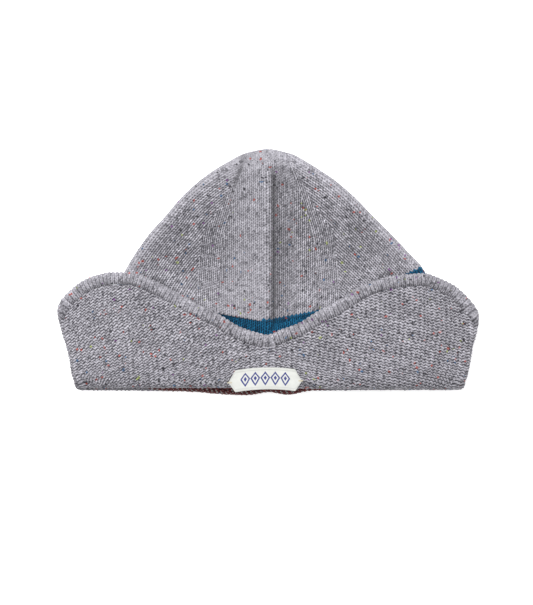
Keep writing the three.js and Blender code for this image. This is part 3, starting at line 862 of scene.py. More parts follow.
@dataclass
class CuffShape:
    """Mid-wall surface of the turned-up cuff, from the crown's rim round the fold to the edge."""

    crown: CrownShape
    swell: float = 12.0
    swell_reach: float = 28.0
    contact: float = 2.0
    contact_reach: float = 6.0
    settle: float = 6.0
    spread: float = 0.0625
    spread_until: float = 0.6
    squareness: float = 0.7

    def __post_init__(self) -> None:
        """Read the tables of the cuff's outline and free edge."""
        up = [3.8, 10, 21.5, 29.6, 37.6, 45.7, 53.8, 90]
        self.half = {-1: Curve(up, [130, 132, 133.7, 135.7, 138.4, 140.4, 141.6, 141.8]),
                     1: Curve(up, [132.8, 134.4, 136.4, 137.8, 140.2, 141.6, 141.5, 141.5])}
        self.radius = Curve(up, [8.4, 7.1, 6.3, 5.5, 4.8, 4.4, 4.2, 4.2])
        turn = [0, 0.055, 0.14, 0.22, 0.32, 0.4, 0.485, 0.57, 0.65, 0.73, 0.805, 0.875, 0.915,
                0.955, 0.98, 1.01, 1.06, 1.15, 1.4, 1.7, 2]
        self.edge = {-1: Curve(turn, [38.3, 39.9, 44.3, 51.4, 58.3, 64.6, 71.3, 77, 80, 80, 78,
                                      73.8, 69.8, 64.6, 60, 54.6, 49.4, 46, 44.5, 43, 42]),
                     1: Curve(turn, [38.3, 41.3, 46, 53.2, 60.6, 68, 73.8, 77.2, 78.6, 79.3, 76,
                                     71.3, 66.8, 61, 56.4, 52, 48.2, 45.6, 44.5, 43, 42])}

    def half_at(self, side: np.ndarray, up: np.ndarray) -> np.ndarray:
        """Return the half width of the cuff at mid-wall."""
        return np.where(side < 0, self.half[-1](up), self.half[1](up)) - HALF_WALL

    def edge_up(self, side: np.ndarray, turn: np.ndarray) -> np.ndarray:
        """Return how far up the free edge lies along the ring."""
        return np.where(side < 0, self.edge[-1](turn), self.edge[1](turn))

    def plan(self, side: np.ndarray, turn: np.ndarray, up: np.ndarray) -> np.ndarray:
        """Find points of the cuff by their place in plan.

        Args:
            side: -1 for the left and 1 for the right.
            turn: places along the ring, 0 at the front's middle, 1 at the side fold, 2 at the
                back's middle.
            up: their distances from the rim.

        Returns:
            Rows of across, up and height.
        """
        half = self.half_at(side, up)
        radius = self.radius(up)
        place, angle = ring_place(half, turn, radius)
        across = side * place
        front = turn <= 1
        height = HALF_WALL + radius + np.where(front, radius, -radius) * np.cos(angle)
        from_fold = half - radius - place
        hung = height + self.swell * (1 - bell(from_fold, self.swell_reach))
        carried = self.crown.draped_height(across, up) + LAYER_STEP
        inland = np.maximum(from_fold, 0)
        blend = self.contact * (1 - np.exp(-inland / self.contact_reach)) + NEAR_ZERO
        near = np.maximum(blend - np.abs(hung - carried), 0) / blend
        lying = np.maximum(hung, carried) + near * near * blend / 4
        height = np.where(front & (angle == 0), lying, height)
        return np.stack([across, up + self.crown.shift_at(across, up, front), height], axis=-1)

    def inside_edge(self, side: np.ndarray, turn: np.ndarray,
                    distance: float | np.ndarray) -> tuple[np.ndarray, np.ndarray]:
        """Find the places a given distance inside the free edge, square to it.

        Args:
            side: -1 for the left and 1 for the right.
            turn: places along the ring.
            distance: how far inside.

        Returns:
            The place along the ring and the distance from the rim.
        """
        step = 0.01
        rise = self.edge_up(side, turn + step) - self.edge_up(side, turn - step)
        slope = np.where((turn < step) | (turn > 2 - step), 0, rise / (2 * step * CUFF_REACH))
        length = np.hypot(1, slope)
        shifted = turn + distance * slope / length / CUFF_REACH
        return np.clip(shifted, 0, 2), self.edge_up(side, turn) - distance / length

    def rim_point(self, side: np.ndarray, turn: np.ndarray) -> np.ndarray:
        """Find the end of the crown's last course, where the rim fold begins.

        Args:
            side: -1 for the left and 1 for the right.
            turn: places along the ring, 0 at the front's middle, 1 at the side fold, 2 at the
                back's middle.

        Returns:
            Rows of across, up and height.
        """
        up = np.full(turn.shape, RIM_UP)
        half = self.crown.half_at(side, up)
        radius = np.full(turn.shape, SIDE_TURN)
        place, angle = ring_place(half, turn, radius)
        across = side * place
        front = turn <= 1
        centre = self.crown.back(up) + SIDE_TURN
        height = centre + np.where(front, SIDE_TURN, -SIDE_TURN) * np.cos(angle)
        from_fold = half - SIDE_TURN - place
        relief = self.crown.front_relief(across, up, from_fold)
        height = height + np.where(front & (angle == 0), relief, 0)
        return np.stack([across, up + self.crown.shift_at(across, up, front), height], axis=-1)

    def rim_outward(self, side: np.ndarray, turn: np.ndarray) -> np.ndarray:
        """Find the direction out of the hat at the rim, square to the crown's wall.

        Args:
            side: -1 for the left and 1 for the right.
            turn: places along the ring.

        Returns:
            A direction of length 1 for each place.
        """
        step = 0.004
        before = self.rim_point(side, np.clip(turn - step, 0, 2))
        after = self.rim_point(side, np.clip(turn + step, 0, 2))
        along = (after - before) * side[..., None]
        out = np.stack([-along[..., 2], np.zeros(turn.shape), along[..., 0]], axis=-1)
        return out / np.linalg.norm(out, axis=-1, keepdims=True)

    def fold_point(self, side: np.ndarray, turn: np.ndarray, angle: float) -> np.ndarray:
        """Find points of the U-turn at the rim.

        Args:
            side: -1 for the left and 1 for the right.
            turn: places along the ring.
            angle: 0 at the crown and pi at the cuff.

        Returns:
            Rows of across, up and height.
        """
        from_middle = np.where(turn > 1, 2 - turn, turn)
        wider = from_middle * self.spread * (1 - smooth_step(self.spread_until, 1, from_middle))
        at_rim = turn + np.where(turn > 1, -wider, wider)
        reach = FOLD_TURN * (1 - np.cos(angle))
        point = self.rim_point(side, at_rim) + self.rim_outward(side, at_rim) * reach
        point[..., 1] -= FOLD_TURN * np.maximum(np.sin(angle), 0) ** self.squareness
        return point

    def point(self, side: np.ndarray, turn: np.ndarray, up: np.ndarray,
              at_turn: np.ndarray) -> np.ndarray:
        """Find points of the cuff, drawn towards the rim fold near the rim.

        Args:
            side: -1 for the left and 1 for the right.
            turn: place along the ring at the rim.
            up: height of the point.
            at_turn: place along the ring at the point itself.

        Returns:
            Rows of across, up and height.
        """
        turned = self.fold_point(side, turn, math.pi)
        correction = turned - self.plan(side, turn, np.full(turn.shape, RIM_UP))
        fade = np.exp(-(up - RIM_UP) / self.settle)
        return self.plan(side, at_turn, up) + correction * fade[..., None]

    def over(self, across: np.ndarray, up: np.ndarray) -> np.ndarray:
        """Find mid-wall points of the cuff's front in plan.

        Args:
            across: places across the hat.
            up: their distances from the rim.

        Returns:
            Rows of across, up and height.
        """
        side = np.where(across < 0, -1, 1)
        half, radius = self.half_at(side, up), self.radius(up)
        turn = np.abs(across) / (half - radius + radius * math.pi / 2)
        return self.point(side, turn, up, turn)


@dataclass(frozen=True)
class StitchForm:
    """Sizes of a stitch: across in wales, along in courses, and the rest in shares of depth."""

    wander: float = 0.09
    swing: float = 0.64
    swing_lean: float = 0.6
    sharp: float = 1.1
    stroke: float = 0.2
    least: float = 0.8
    uneven: float = 0.38
    leg_width: float = 0.16
    leg_rise: float = 1.3
    leg_start: float = 0.2
    gap: float = 0.44
    tuck: float = 0.12
    corner: float = 0.4
    rib_middle: float = 0.7
    rib_fold: float = 0.32
    rib_uneven: float = 0.2
    hole: float = 0.6
    hole_course: float = 0.35
    hole_reach: float = 0.3
    loose: float = 0.4
    highest: float = 1.2


FORM = StitchForm()


class Pattern(Enum):
    """How a piece's surface is knitted."""

    PLAIN = "plain"
    PURL = "purl"
    RIB = "rib"

    def depth(self, wale: np.ndarray, course: np.ndarray, lean: np.ndarray) -> np.ndarray:
        """Work out the relief of the stitches.

        Args:
            wale: places across, in stitches.
            course: places along, in stitches.
            lean: how far a reverse stitch tips over.

        Returns:
            How far each place stands out of the gaps, about 0 to 1.
        """
        if self is Pattern.PURL:
            wale = wale + FORM.wander * drift(wale * 3, course * 9, 5)
            depth = self._reverse(wale, course, lean)
        else:
            depth = self._face(wale, course)
        loose = FORM.loose * (chance(np.floor(wale * 2), np.floor(course)) - 0.5)
        return np.clip(depth * (1 + loose), 0, FORM.highest)

    @staticmethod
    def _reverse(wale: np.ndarray, course: np.ndarray, lean: np.ndarray) -> np.ndarray:
        """Lay the interlocking waves of the reverse side.

        Args:
            wale: places across, in stitches.
            course: places along, in stitches.
            lean: how far a stitch tips over.

        Returns:
            The relief of each place.
        """
        across = wale - np.floor(wale)
        crest = 0.5 + lean
        bow = np.where(across < crest, across / crest, (1 - across) / (1 - crest)) - 0.5
        rise = (FORM.swing + FORM.swing_lean * lean) * bow
        ridge = wave(course + FORM.wander * drift(wale * 6, course * 6, 7) - rise)
        stroke = np.cos(2 * math.pi * (across - 0.5 + 2 * lean))
        stitch = chance(np.floor(wale + 0.2), np.floor(course - rise + 0.5))
        return (ridge**FORM.sharp * (1 - FORM.stroke + FORM.stroke * stroke)
                * (FORM.least + FORM.uneven * stitch))

    def _face(self, wale: np.ndarray, course: np.ndarray) -> np.ndarray:
        """Lay the two slanted legs of each face stitch, with the folds of a rib.

        Args:
            wale: places across, in stitches.
            course: places along, in stitches.

        Returns:
            The relief of each place.
        """
        across = wale - np.floor(wale)
        off = np.abs(across - 0.5)
        middle = FORM.rib_middle if self is Pattern.RIB else 1.0
        legs = 1 - bell(0.5 - off, FORM.leg_width) - middle * bell(off, FORM.leg_width)
        tuck = wave(course - FORM.leg_rise * off - FORM.leg_start)
        depth = (1 - FORM.corner * (1 - legs) * (1 - tuck) - FORM.gap * (1 - legs)
                 - FORM.tuck * (1 - tuck))
        if self is Pattern.RIB:
            fold = FORM.rib_fold + FORM.rib_uneven * drift(wale * 5, course * 3, 9)
            hole = bell(course - FORM.hole_course, FORM.hole_reach) * wave(2 * wale)
            depth = depth * (1 - fold * wave(across)) * (1 - FORM.hole * hole)
        return depth


def shape_object(name: str, points: np.ndarray, faces: list) -> bpy.types.Object:
    """Make an object from corners in millimetres and faces.

    Args:
        name: the object's name.
        points: rows of across, up and height.
        faces: corner numbers of each face.

    Returns:
        The new object, smooth shaded.
    """
    placed = (points - np.array([0, ORIGIN_UP, 0])) * MM
    mesh = bpy.data.meshes.new(name)
    mesh.from_pydata(placed.tolist(), [], faces)
    mesh.shade_smooth()
    piece = bpy.data.objects.new(name, mesh)
    bpy.context.scene.collection.objects.link(piece)
    return piece


class Faces:
    """Faces between the places of a welded sheet, on its outer and inner layer."""

    def __init__(self, ids: list[list[int]], stitches: list, layer: int) -> None:
        """Keep the sheet's numbers.

        Args:
            ids: the welded number of each place, in rows and columns.
            stitches: the wale and course of each place.
            layer: the number of places in a layer.
        """
        self.ids, self.uv, self.layer = ids, stitches, layer
        self.corners: list[list[int]] = []
        self.stitches: list[list[float]] = []

    def add(self, places: list[tuple[int, int, int]]) -> None:
        """Keep a face without its repeated corners.

        Args:
            places: row, column and layer of each corner, with 0 for the outer layer.
        """
        kept, kept_uv = [], []
        for row, column, inner in places:
            corner = self.ids[row][column] + inner * self.layer
            if corner not in kept:
                kept.append(corner)
                kept_uv.append(self.uv[row][column])
        if len(kept) > 2:
            self.corners.append(kept)
            self.stitches.extend(kept_uv)

    def compact(self) -> tuple[np.ndarray, list[list[int]]]:
        """Drop the unused corner numbers.

        Returns:
            The numbers that are used, and the faces numbered by their places in that list.
        """
        flat = np.fromiter((c for face in self.corners for c in face), dtype=np.int64)
        used, renumbered = np.unique(flat, return_inverse=True)
        faces, start = [], 0
        for face in self.corners:
            faces.append(renumbered[start:start + len(face)].tolist())
            start += len(face)
        return used, faces


@dataclass
class KnitSheet:
    """Builds a closed wall from a sheet of stitches: a knitted outer face and a plain inner one."""

    cloth: Cloth
    pattern: Pattern
    relief: float
    coarse_rows: int = PER_STITCH
    wall: tuple[float | np.ndarray, float | np.ndarray] = (HALF_WALL, HALF_WALL)
    sunk: float = 0.45
    inside_depth: float = 0.6

    def _weld(self) -> np.ndarray:
        """Return a number for each place, the same one for equal places."""
        place = self.cloth.place
        keys = np.round(place.reshape(-1, 3) * 200).astype(np.int64)
        _, first, ids = np.unique(keys, axis=0, return_index=True, return_inverse=True)
        return first[ids.ravel()].reshape(place.shape[:2])

    def _normals(self, ids: np.ndarray) -> np.ndarray:
        """Work out the direction out of the hollow at each place.

        Args:
            ids: the welded number of each place.

        Returns:
            A direction of length 1 for each place.
        """
        place = self.cloth.place
        face = np.cross(place[1:, 1:] - place[:-1, :-1], place[1:, :-1] - place[:-1, 1:])
        total = np.zeros((place.shape[0] * place.shape[1], 3))
        low, high = slice(None, -1), slice(1, None)
        for rows, cols in ((low, low), (low, high), (high, high), (high, low)):
            np.add.at(total, ids[rows, cols].ravel(), face.reshape(-1, 3))
        return unit(total)[ids]

    def build(self, name: str) -> bpy.types.Object:
        """Make the closed object.

        Args:
            name: the object's name.

        Returns:
            The object, with its stitches in the UV map and the relief's depth as an attribute.
        """
        cloth = self.cloth
        ids = self._weld()
        normal = self._normals(ids)
        depth = self.pattern.depth(cloth.wale, cloth.course, cloth.lean)
        depth = np.clip(1 - (1 - depth) * (1 + cloth.slack), 0, FORM.highest)
        outer_wall, inner_wall = (np.broadcast_to(wall, ids.shape) for wall in self.wall)
        lift = outer_wall - self.sunk * self.relief + self.relief * depth
        outer = (cloth.place + normal * lift[..., None]).reshape(-1, 3)
        inner = (cloth.place - normal * inner_wall[..., None]).reshape(-1, 3)
        stitches = np.stack([cloth.wale, cloth.course], axis=-1)
        faces = Faces(ids.tolist(), stitches.tolist(), ids.size)
        self._close(faces, *ids.shape)
        used, corners = faces.compact()
        piece = shape_object(name, np.concatenate([outer, inner])[used], corners)
        layer = piece.data.uv_layers.new(name="stitches")
        layer.data.foreach_set("uv", np.array(faces.stitches, float).ravel())
        shown = {"depth": (depth, self.inside_depth), "dye": (cloth.dye, UNDYED),
                 "tint": (cloth.tint, 1.0)}
        for key, (values, inside) in shown.items():
            layer = piece.data.attributes.new(key, "FLOAT", "POINT")
            layer.data.foreach_set("value", np.r_[values.ravel(), np.full(ids.size, inside)][used])
        return piece

    def _close(self, faces: "Faces", rows: int, cols: int) -> None:
        """Add the fine outer faces, the coarse inner ones, and the two strips that join them.

        Args:
            faces: the list that takes them.
            rows: number of rows of the sheet.
            cols: number of columns.
        """
        for i in range(rows - 1):
            for j in range(cols - 1):
                faces.add([(i, j, 0), (i, j + 1, 0), (i + 1, j + 1, 0), (i + 1, j, 0)])
        columns = sorted(set(self.cloth.coarse_columns) | {cols - 1})
        levels = sorted(set(range(0, rows, self.coarse_rows)) | {rows - 1})
        for i, above in zip(levels, levels[1:]):
            for j, beside in zip(columns, columns[1:]):
                faces.add([(above, j, 1), (above, beside, 1), (i, beside, 1), (i, j, 1)])
        for level, step in ((0, 1), (rows - 1, -1)):
            for j, beside in zip(columns, columns[1:]):
                strip = [(level, c, 0) for c in range(beside, j - 1, -1)]
                strip += [(level, j, 1), (level, beside, 1)]
                faces.add(strip[::step])

Colour = tuple[float, float, float]
Bands = tuple[tuple[float, Colour], ...]
BLACK: Colour = (0.0, 0.0, 0.0)


class Term:
    """A value in a node tree. Arithmetic with it adds Math nodes."""

    def __init__(self, nodes: "Nodes", socket: bpy.types.NodeSocket) -> None:
        """Keep the tree and the socket that gives the value."""
        self.nodes, self.socket = nodes, socket

    def __add__(self, other: "Term | float") -> "Term":
        """Return the sum."""
        return self.nodes.math("ADD", self, other)

    def __sub__(self, other: "Term | float") -> "Term":
        """Return the difference."""
        return self.nodes.math("SUBTRACT", self, other)

    def __rsub__(self, other: float) -> "Term":
        """Return the difference from a number."""
        return self.nodes.math("SUBTRACT", other, self)

    def __mul__(self, other: "Term | float") -> "Term":
        """Return the product."""
        return self.nodes.math("MULTIPLY", self, other)

    def __lt__(self, other: "Term | float") -> "Term":
        """Return 1 where the value is the smaller one, and 0 elsewhere."""
        return self.nodes.math("LESS_THAN", self, other)

    def __gt__(self, other: "Term | float") -> "Term":
        """Return 1 where the value is the larger one, and 0 elsewhere."""
        return self.nodes.math("GREATER_THAN", self, other)

    def __abs__(self) -> "Term":
        """Return the value without its sign."""
        return self.nodes.math("ABSOLUTE", self)

    def floor(self) -> "Term":
        """Return the whole number below the value."""
        return self.nodes.math("FLOOR", self)

    def fract(self) -> "Term":
        """Return what the value has over a whole number."""
        return self.nodes.math("FRACT", self)

    def sine(self) -> "Term":
        """Return the value's sine."""
        return self.nodes.math("SINE", self)


class Nodes:
    """Short calls for building a material's node tree."""

    def __init__(self, name: str) -> None:
        """Start an empty material.

        Args:
            name: the material's name.
        """
        self.material = bpy.data.materials.new(name)
        self.material.use_nodes = True
        self.tree = self.material.node_tree
        self.tree.nodes.clear()
        self.shader = self.tree.nodes.new("ShaderNodeBsdfPrincipled")
        output = self.tree.nodes.new("ShaderNodeOutputMaterial")
        self.tree.links.new(self.shader.outputs["BSDF"], output.inputs["Surface"])

    def put(self, socket: bpy.types.NodeSocket, value: Term | float | Colour) -> None:
        """Link a socket to a value in the tree, or set it.

        Args:
            socket: the input socket.
            value: what it gets.
        """
        if isinstance(value, Term):
            self.tree.links.new(value.socket, socket)
        else:
            socket.default_value = (*value, 1) if isinstance(value, tuple) else value

    def shade(self, **inputs: Term | float | Colour) -> bpy.types.Material:
        """Set the shader's inputs.

        Args:
            inputs: each input's value, by its name with low lines for spaces.

        Returns:
            The finished material.
        """
        for name, value in inputs.items():
            self.put(self.shader.inputs[name.replace("_", " ")], value)
        return self.material

    def node(self, kind: str, inputs: dict, output: int | str = 0, **settings: str | bool) -> Term:
        """Add a node.

        Args:
            kind: its type, without the usual beginning.
            inputs: each input's value, by its name or number.
            output: the output that is read.
            settings: properties of the node itself.

        Returns:
            The output.
        """
        node = self.tree.nodes.new("ShaderNode" + kind)
        for name, setting in settings.items():
            setattr(node, name, setting)
        for key, value in inputs.items():
            self.put(node.inputs[key], value)
        return Term(self, node.outputs[output])

    def attribute(self, name: str) -> Term:
        """Return a mesh attribute's value."""
        return self.node("Attribute", {}, "Fac", attribute_name=name)

    def coordinates(self, kind: str) -> Term:
        """Return texture coordinates of a kind."""
        return self.node("TexCoord", {}, kind)

    def noise(self, where: Term, scale: float) -> Term:
        """Return a noise value with two levels of detail."""
        return self.node("TexNoise", {"Vector": where, "Scale": scale, "Detail": 2.0}, "Fac")

    def split(self, vector: Term) -> tuple[Term, Term]:
        """Return the first two parts of a vector."""
        first = self.node("SeparateXYZ", {0: vector})
        return first, Term(self, first.socket.node.outputs[1])

    def join(self, first: Term, second: Term) -> Term:
        """Return a flat vector of two parts."""
        return self.node("CombineXYZ", {0: first, 1: second})

    def chance(self, where: Term) -> Term:
        """Return a random value for each flat vector."""
        return self.node("TexWhiteNoise", {"Vector": where}, "Value", noise_dimensions="2D")

    def cells(self, where: Term, scale: float) -> tuple[Term, Term]:
        """Scatter cells of a Voronoi pattern.

        Args:
            where: the coordinates.
            scale: cells to the metre.

        Returns:
            Two random values, the same all over a cell.
        """
        colour = self.node("TexVoronoi", {"Vector": where, "Scale": scale}, "Color")
        red = self.node("SeparateColor", {"Color": colour}, "Red")
        return red, Term(self, red.socket.node.outputs["Green"])

    def math(self, operation: str, first: Term | float, second: Term | float = 0.0,
             clamp: bool = False) -> Term:
        """Return the result of a calculation."""
        return self.node("Math", {0: first, 1: second}, operation=operation, use_clamp=clamp)

    def span(self, value: Term, low: float, high: float, to_low: float = 0.0,
             to_high: float = 1.0) -> Term:
        """Return a value moved from one range to another, held at its ends."""
        return self.node("MapRange", dict(enumerate((value, low, high, to_low, to_high))))

    def mix(self, share: Term | float, first: Term | Colour, second: Term | Colour) -> Term:
        """Return a colour between two colours."""
        return self.node("Mix", {0: share, 6: first, 7: second}, 2, data_type="RGBA")

    def steps(self, value: Term, bands: Bands) -> Term:
        """Choose the colour of the band that a value falls in.

        Args:
            value: the value.
            bands: where each band starts, and its colour.

        Returns:
            The colour.
        """
        chosen = self.node("ValToRGB", {0: value})
        ramp = chosen.socket.node.color_ramp
        ramp.interpolation = "CONSTANT"
        while len(ramp.elements) < len(bands):
            ramp.elements.new(1.0)
        for element, (start, colour) in zip(ramp.elements, bands):
            element.position = start
            element.color = (*colour, 1)
        return chosen

    def bump(self, height: Term, distance: float, strength: float) -> Term:
        """Return a normal bent by a height."""
        inputs = {"Height": height, "Distance": distance, "Strength": strength}
        return self.node("Bump", inputs, "Normal")


FLECKS: Bands = (
    (0.0, (0.5, 0.08, 0.05)),
    (0.38, (0.04, 0.16, 0.34)),
    (0.56, (0.42, 0.5, 0.12)),
    (0.66, (0.24, 0.06, 0.3)),
    (0.78, (0.015, 0.015, 0.02)),
)
DARK_NEP: Colour = (0.02, 0.02, 0.03)


@dataclass(frozen=True)
class Shade:
    """Colours of one yarn: its light and dark fibres, and the painted shade in the gaps between its
    stitches.
    """

    light: Colour
    dark: Colour
    gap: Colour


@dataclass(frozen=True)
class YarnFinish:
    """Soft mixed yarn with coloured flecks, and a second shade where the cloth is dyed.

    The tone of a place is the sum of shares for its fibres, its stitch and the fuzz on it, and a
    share of its relief paints light on raised yarn and shade in the hollows.
    """

    name: str
    shade: Shade
    dyed: Shade | None = None
    dash: Colour | None = None
    fleck_share: float = 0.02
    fleck_cells: float = 760.0
    fleck_cover: float = 0.85
    nep_share: float = 0.0015
    nep_cells: float = 620.0
    nep_cover: tuple[float, float] = (0.75, 0.9)
    gap_shade_depth: float = 0.9
    fibre_rates: tuple[float, float] = (6.5, 1.7)
    patch_rates: tuple[float, float] = (0.14, 0.4)
    fuzz_scale: float = 1300.0
    contrast: tuple[float, float] = (0.34, 0.66)
    fibre_tone: float = 0.45
    stitch_tone: float = 0.22
    fuzz_tone: float = 0.33
    relief_light_tone: float = 0.0
    ridge_middle: float = 0.55
    mottle: float = 0.085
    speck_share: float = 0.05
    speck_tone: float = 0.5
    fuzz_height: float = 0.7
    bump_height: float = 0.0004
    bump_strength: float = 0.8
    sheen: float = 0.08
    tooth_height: float = 1.7
    tooth_middle: float = 0.45
    dash_width: float = 0.55
    dash_length: float = 0.45
    dash_rate: float = 0.5

    def material(self) -> bpy.types.Material:
        """Build the node material.

        Returns:
            The material.
        """
        nodes = Nodes(self.name)
        wale, course = nodes.split(nodes.coordinates("UV"))
        where, depth = nodes.coordinates("Object"), nodes.attribute("depth")
        strands = nodes.join(*(part * rate for part, rate in zip((wale, course), self.fibre_rates)))
        fibre = nodes.span(nodes.noise(strands, 1.0), *self.contrast)
        fuzz = nodes.span(nodes.noise(where, self.fuzz_scale), *self.contrast)
        tone = fibre * self.fibre_tone
        tone = self._stitch_tone(nodes, tone, fuzz * self.fuzz_tone, depth, wale, course)
        share = self._dyed_share(nodes, wale)
        light, dark, gap = self.shade.light, self.shade.dark, self.shade.gap
        if self.dyed:
            light = nodes.mix(share, light, self.dyed.light)
            dark = nodes.mix(share, dark, self.dyed.dark)
            gap = nodes.mix(share, gap, self.dyed.gap)
        colour = self._flecked(nodes, nodes.mix(tone, dark, light), where)
        if self.dash:
            colour = nodes.mix(self._dash_share(wale, course) * share, colour, self.dash)
        # painted shade: the gaps between stitches mix towards the dark gap colour
        colour = nodes.mix(nodes.span(depth, 0.0, self.gap_shade_depth), gap, colour)
        # the tint darkens towards black: mostly painted shade, and the real dark line of the dart
        fallen = nodes.math("SUBTRACT", 1.0, nodes.attribute("tint"), clamp=True)
        bump = nodes.bump(fibre + fuzz * self.fuzz_height, self.bump_height, self.bump_strength)
        return nodes.shade(Base_Color=nodes.mix(fallen, colour, BLACK), Roughness=0.95,
                           Specular_IOR_Level=0.15, Sheen_Weight=self.sheen,
                           Sheen_Roughness=0.6, Normal=bump)

    def _stitch_tone(self, nodes: Nodes, tone: Term, fuzz: Term, depth: Term, wale: Term,
                     course: Term) -> Term:
        """Vary the tone from stitch to stitch and from stretch to stretch of the yarn, and paint
        light on raised yarn and shade in its hollows.

        Args:
            nodes: the tree.
            tone: what the fibres give.
            fuzz: what the fuzz gives.
            depth: how far each place stands out of the gaps.
            wale: places across, in stitches.
            course: places along, in stitches.

        Returns:
            The whole tone, 0 for dark and 1 for light.
        """
        leg, row = (wale * 2.0).floor(), course.floor()
        tone = tone + nodes.chance(nodes.join(leg, row)) * self.stitch_tone + fuzz
        # painted light on raised yarn and painted shade in the hollows
        tone = tone + (depth - self.ridge_middle) * self.relief_light_tone
        runs = nodes.join(*(part * rate for part, rate in zip((wale, course), self.patch_rates)))
        tone = tone + nodes.span(nodes.noise(runs, 1.0), *PATCH_RANGE, -self.mottle, self.mottle)
        speck = nodes.chance(nodes.join(row, leg)) > 1 - self.speck_share
        return tone * (1.0 - speck * self.speck_tone)

    def _flecked(self, nodes: Nodes, colour: Term, where: Term) -> Term:
        """Lay small flecks and a few larger neps over a colour.

        Args:
            nodes: the tree.
            colour: the yarn's colour.
            where: object coordinates.

        Returns:
            The colour with its flecks.
        """
        pick, kind = nodes.cells(where, self.fleck_cells)
        fleck = (pick < self.fleck_share) * self.fleck_cover
        colour = nodes.mix(fleck, colour, nodes.steps(kind, FLECKS))
        pick, kind = nodes.cells(where, self.nep_cells)
        nep = (abs(pick - 0.5) < self.nep_share) * self.nep_cover[0]
        colour = nodes.mix(nep, colour, nodes.steps(kind, FLECKS))
        return nodes.mix((pick < self.nep_share) * self.nep_cover[1], colour, DARK_NEP)

    def _dyed_share(self, nodes: Nodes, wale: Term) -> Term:
        """Return where the second shade shows, toothed along the wales."""
        tooth = abs(wale.fract() - 0.5) * self.tooth_height - self.tooth_middle
        return nodes.attribute("dye") + tooth > 0.0

    def _dash_share(self, wale: Term, course: Term) -> Term:
        """Find where light dashes cross the dyed part.

        Args:
            wale: places across, in stitches.
            course: places along, in stitches.

        Returns:
            1 in a dash and 0 elsewhere.
        """
        across = wale.fract()
        along = (course * self.dash_rate + across).fract()
        return (across < self.dash_width) * (along < self.dash_length)


@dataclass(frozen=True)
class WovenFinish:
    """Close satin weave with a woven chain of lozenges, sizes in mm."""

    name: str
    ground: Colour
    figure: Colour
    lozenge_pitch: float = 6.6
    lozenge_reach: float = 2.7
    lozenge_slope: float = 0.7
    core: float = 0.4
    stroke: float = 1.1
    figure_reach: float = 16.5
    thread_pitch: tuple[float, float] = (0.42, 0.3)
    worn_scale: float = 260.0
    worn_share: float = 0.16
    groove_shade_share: float = 0.28
    worn_grey: Colour = (0.3, 0.3, 0.3)
    groove_shade_grey: Colour = (0.2, 0.2, 0.2)
    figure_height: float = 1.2
    bump_height: float = 0.00008
    bump_strength: float = 0.6

    def material(self) -> bpy.types.Material:
        """Build the node material.

        Returns:
            The material.
        """
        nodes = Nodes(self.name)
        along, up = nodes.split(nodes.coordinates("UV"))
        figure = self._figure(along, up)
        pick, shed = ((part * (2 * math.pi / pitch)).sine()
                      for part, pitch in zip((along, up), self.thread_pitch))
        patches = nodes.noise(nodes.coordinates("Object"), self.worn_scale)
        wear_and_painted_shade = nodes.span(patches, *PATCH_RANGE, 0.0, self.worn_share)
        colour = nodes.mix(wear_and_painted_shade, nodes.mix(figure, self.ground, self.figure), self.worn_grey)
        # painted shade in the groove just inside the label's raised border
        sunk = nodes.span(nodes.attribute("depth"), 0.0, 1.0, self.groove_shade_share, 0.0)
        height = pick * shed + figure * self.figure_height
        bump = nodes.bump(height, self.bump_height, self.bump_strength)
        return nodes.shade(Base_Color=nodes.mix(sunk, colour, self.groove_shade_grey), Roughness=0.6,
                           Specular_IOR_Level=0.25, Normal=bump)

    def _figure(self, along: Term, up: Term) -> Term:
        """Draw the dark woven figure.

        Args:
            along: distance along the label from its middle.
            up: distance up from its middle line.

        Returns:
            1 in the figure and 0 in the ground.
        """
        cell = self.lozenge_pitch
        off = abs((along * (1 / cell) + 0.5).fract() - 0.5) * cell
        reach = off + abs(up) * self.lozenge_slope
        ring = abs(reach - self.lozenge_reach) < self.stroke / 2
        core = reach < self.lozenge_reach * self.core
        inside = abs(along) < self.figure_reach
        return along.nodes.math("MAXIMUM", ring, core) * inside


@dataclass(frozen=True)
class PlainFinish:
    """One plain colour: the thread of a bar tack, or the floor, which also glows a little."""

    name: str
    colour: Colour
    roughness: float
    glow: float = 0.0

    def material(self) -> bpy.types.Material:
        """Build the node material."""
        return Nodes(self.name).shade(Base_Color=self.colour, Roughness=self.roughness,
                                      Emission_Color=(1.0, 1.0, 1.0), Emission_Strength=self.glow)


# the third colour of each yarn is the painted shade in the gaps between stitches
GREY = Shade((0.828, 0.806, 0.89), (0.045, 0.043, 0.053), (0.014, 0.013, 0.018))
BLUE = Shade((0.015, 0.215, 0.43), (0.001, 0.02, 0.05), (0.001, 0.004, 0.012))
MAROON = Shade((0.36, 0.07, 0.075), (0.1, 0.017, 0.021), (0.03, 0.008, 0.01))
OFF_WHITE: Colour = (0.55, 0.52, 0.5)

GREY_KNIT = YarnFinish("grey knit", GREY, dyed=BLUE, relief_light_tone=0.36)
GREY_PURL = YarnFinish("grey purl", GREY, dyed=MAROON, dash=OFF_WHITE, gap_shade_depth=0.58)
GREY_RIB = YarnFinish("grey rib", GREY)
BLUE_KNIT = YarnFinish("blue knit", BLUE, fleck_share=0.015, relief_light_tone=0.9, sheen=0.03)
MAROON_KNIT = YarnFinish("maroon knit", MAROON, sheen=0.03)
LABEL_WEAVE = WovenFinish("label weave", (0.62, 0.63, 0.6), (0.035, 0.045, 0.2))
TACK_THREAD = PlainFinish("tack thread", (0.5, 0.46, 0.36), 0.7)
FLOOR = PlainFinish("floor", (0.9, 0.9, 0.9), 0.9, 0.5)


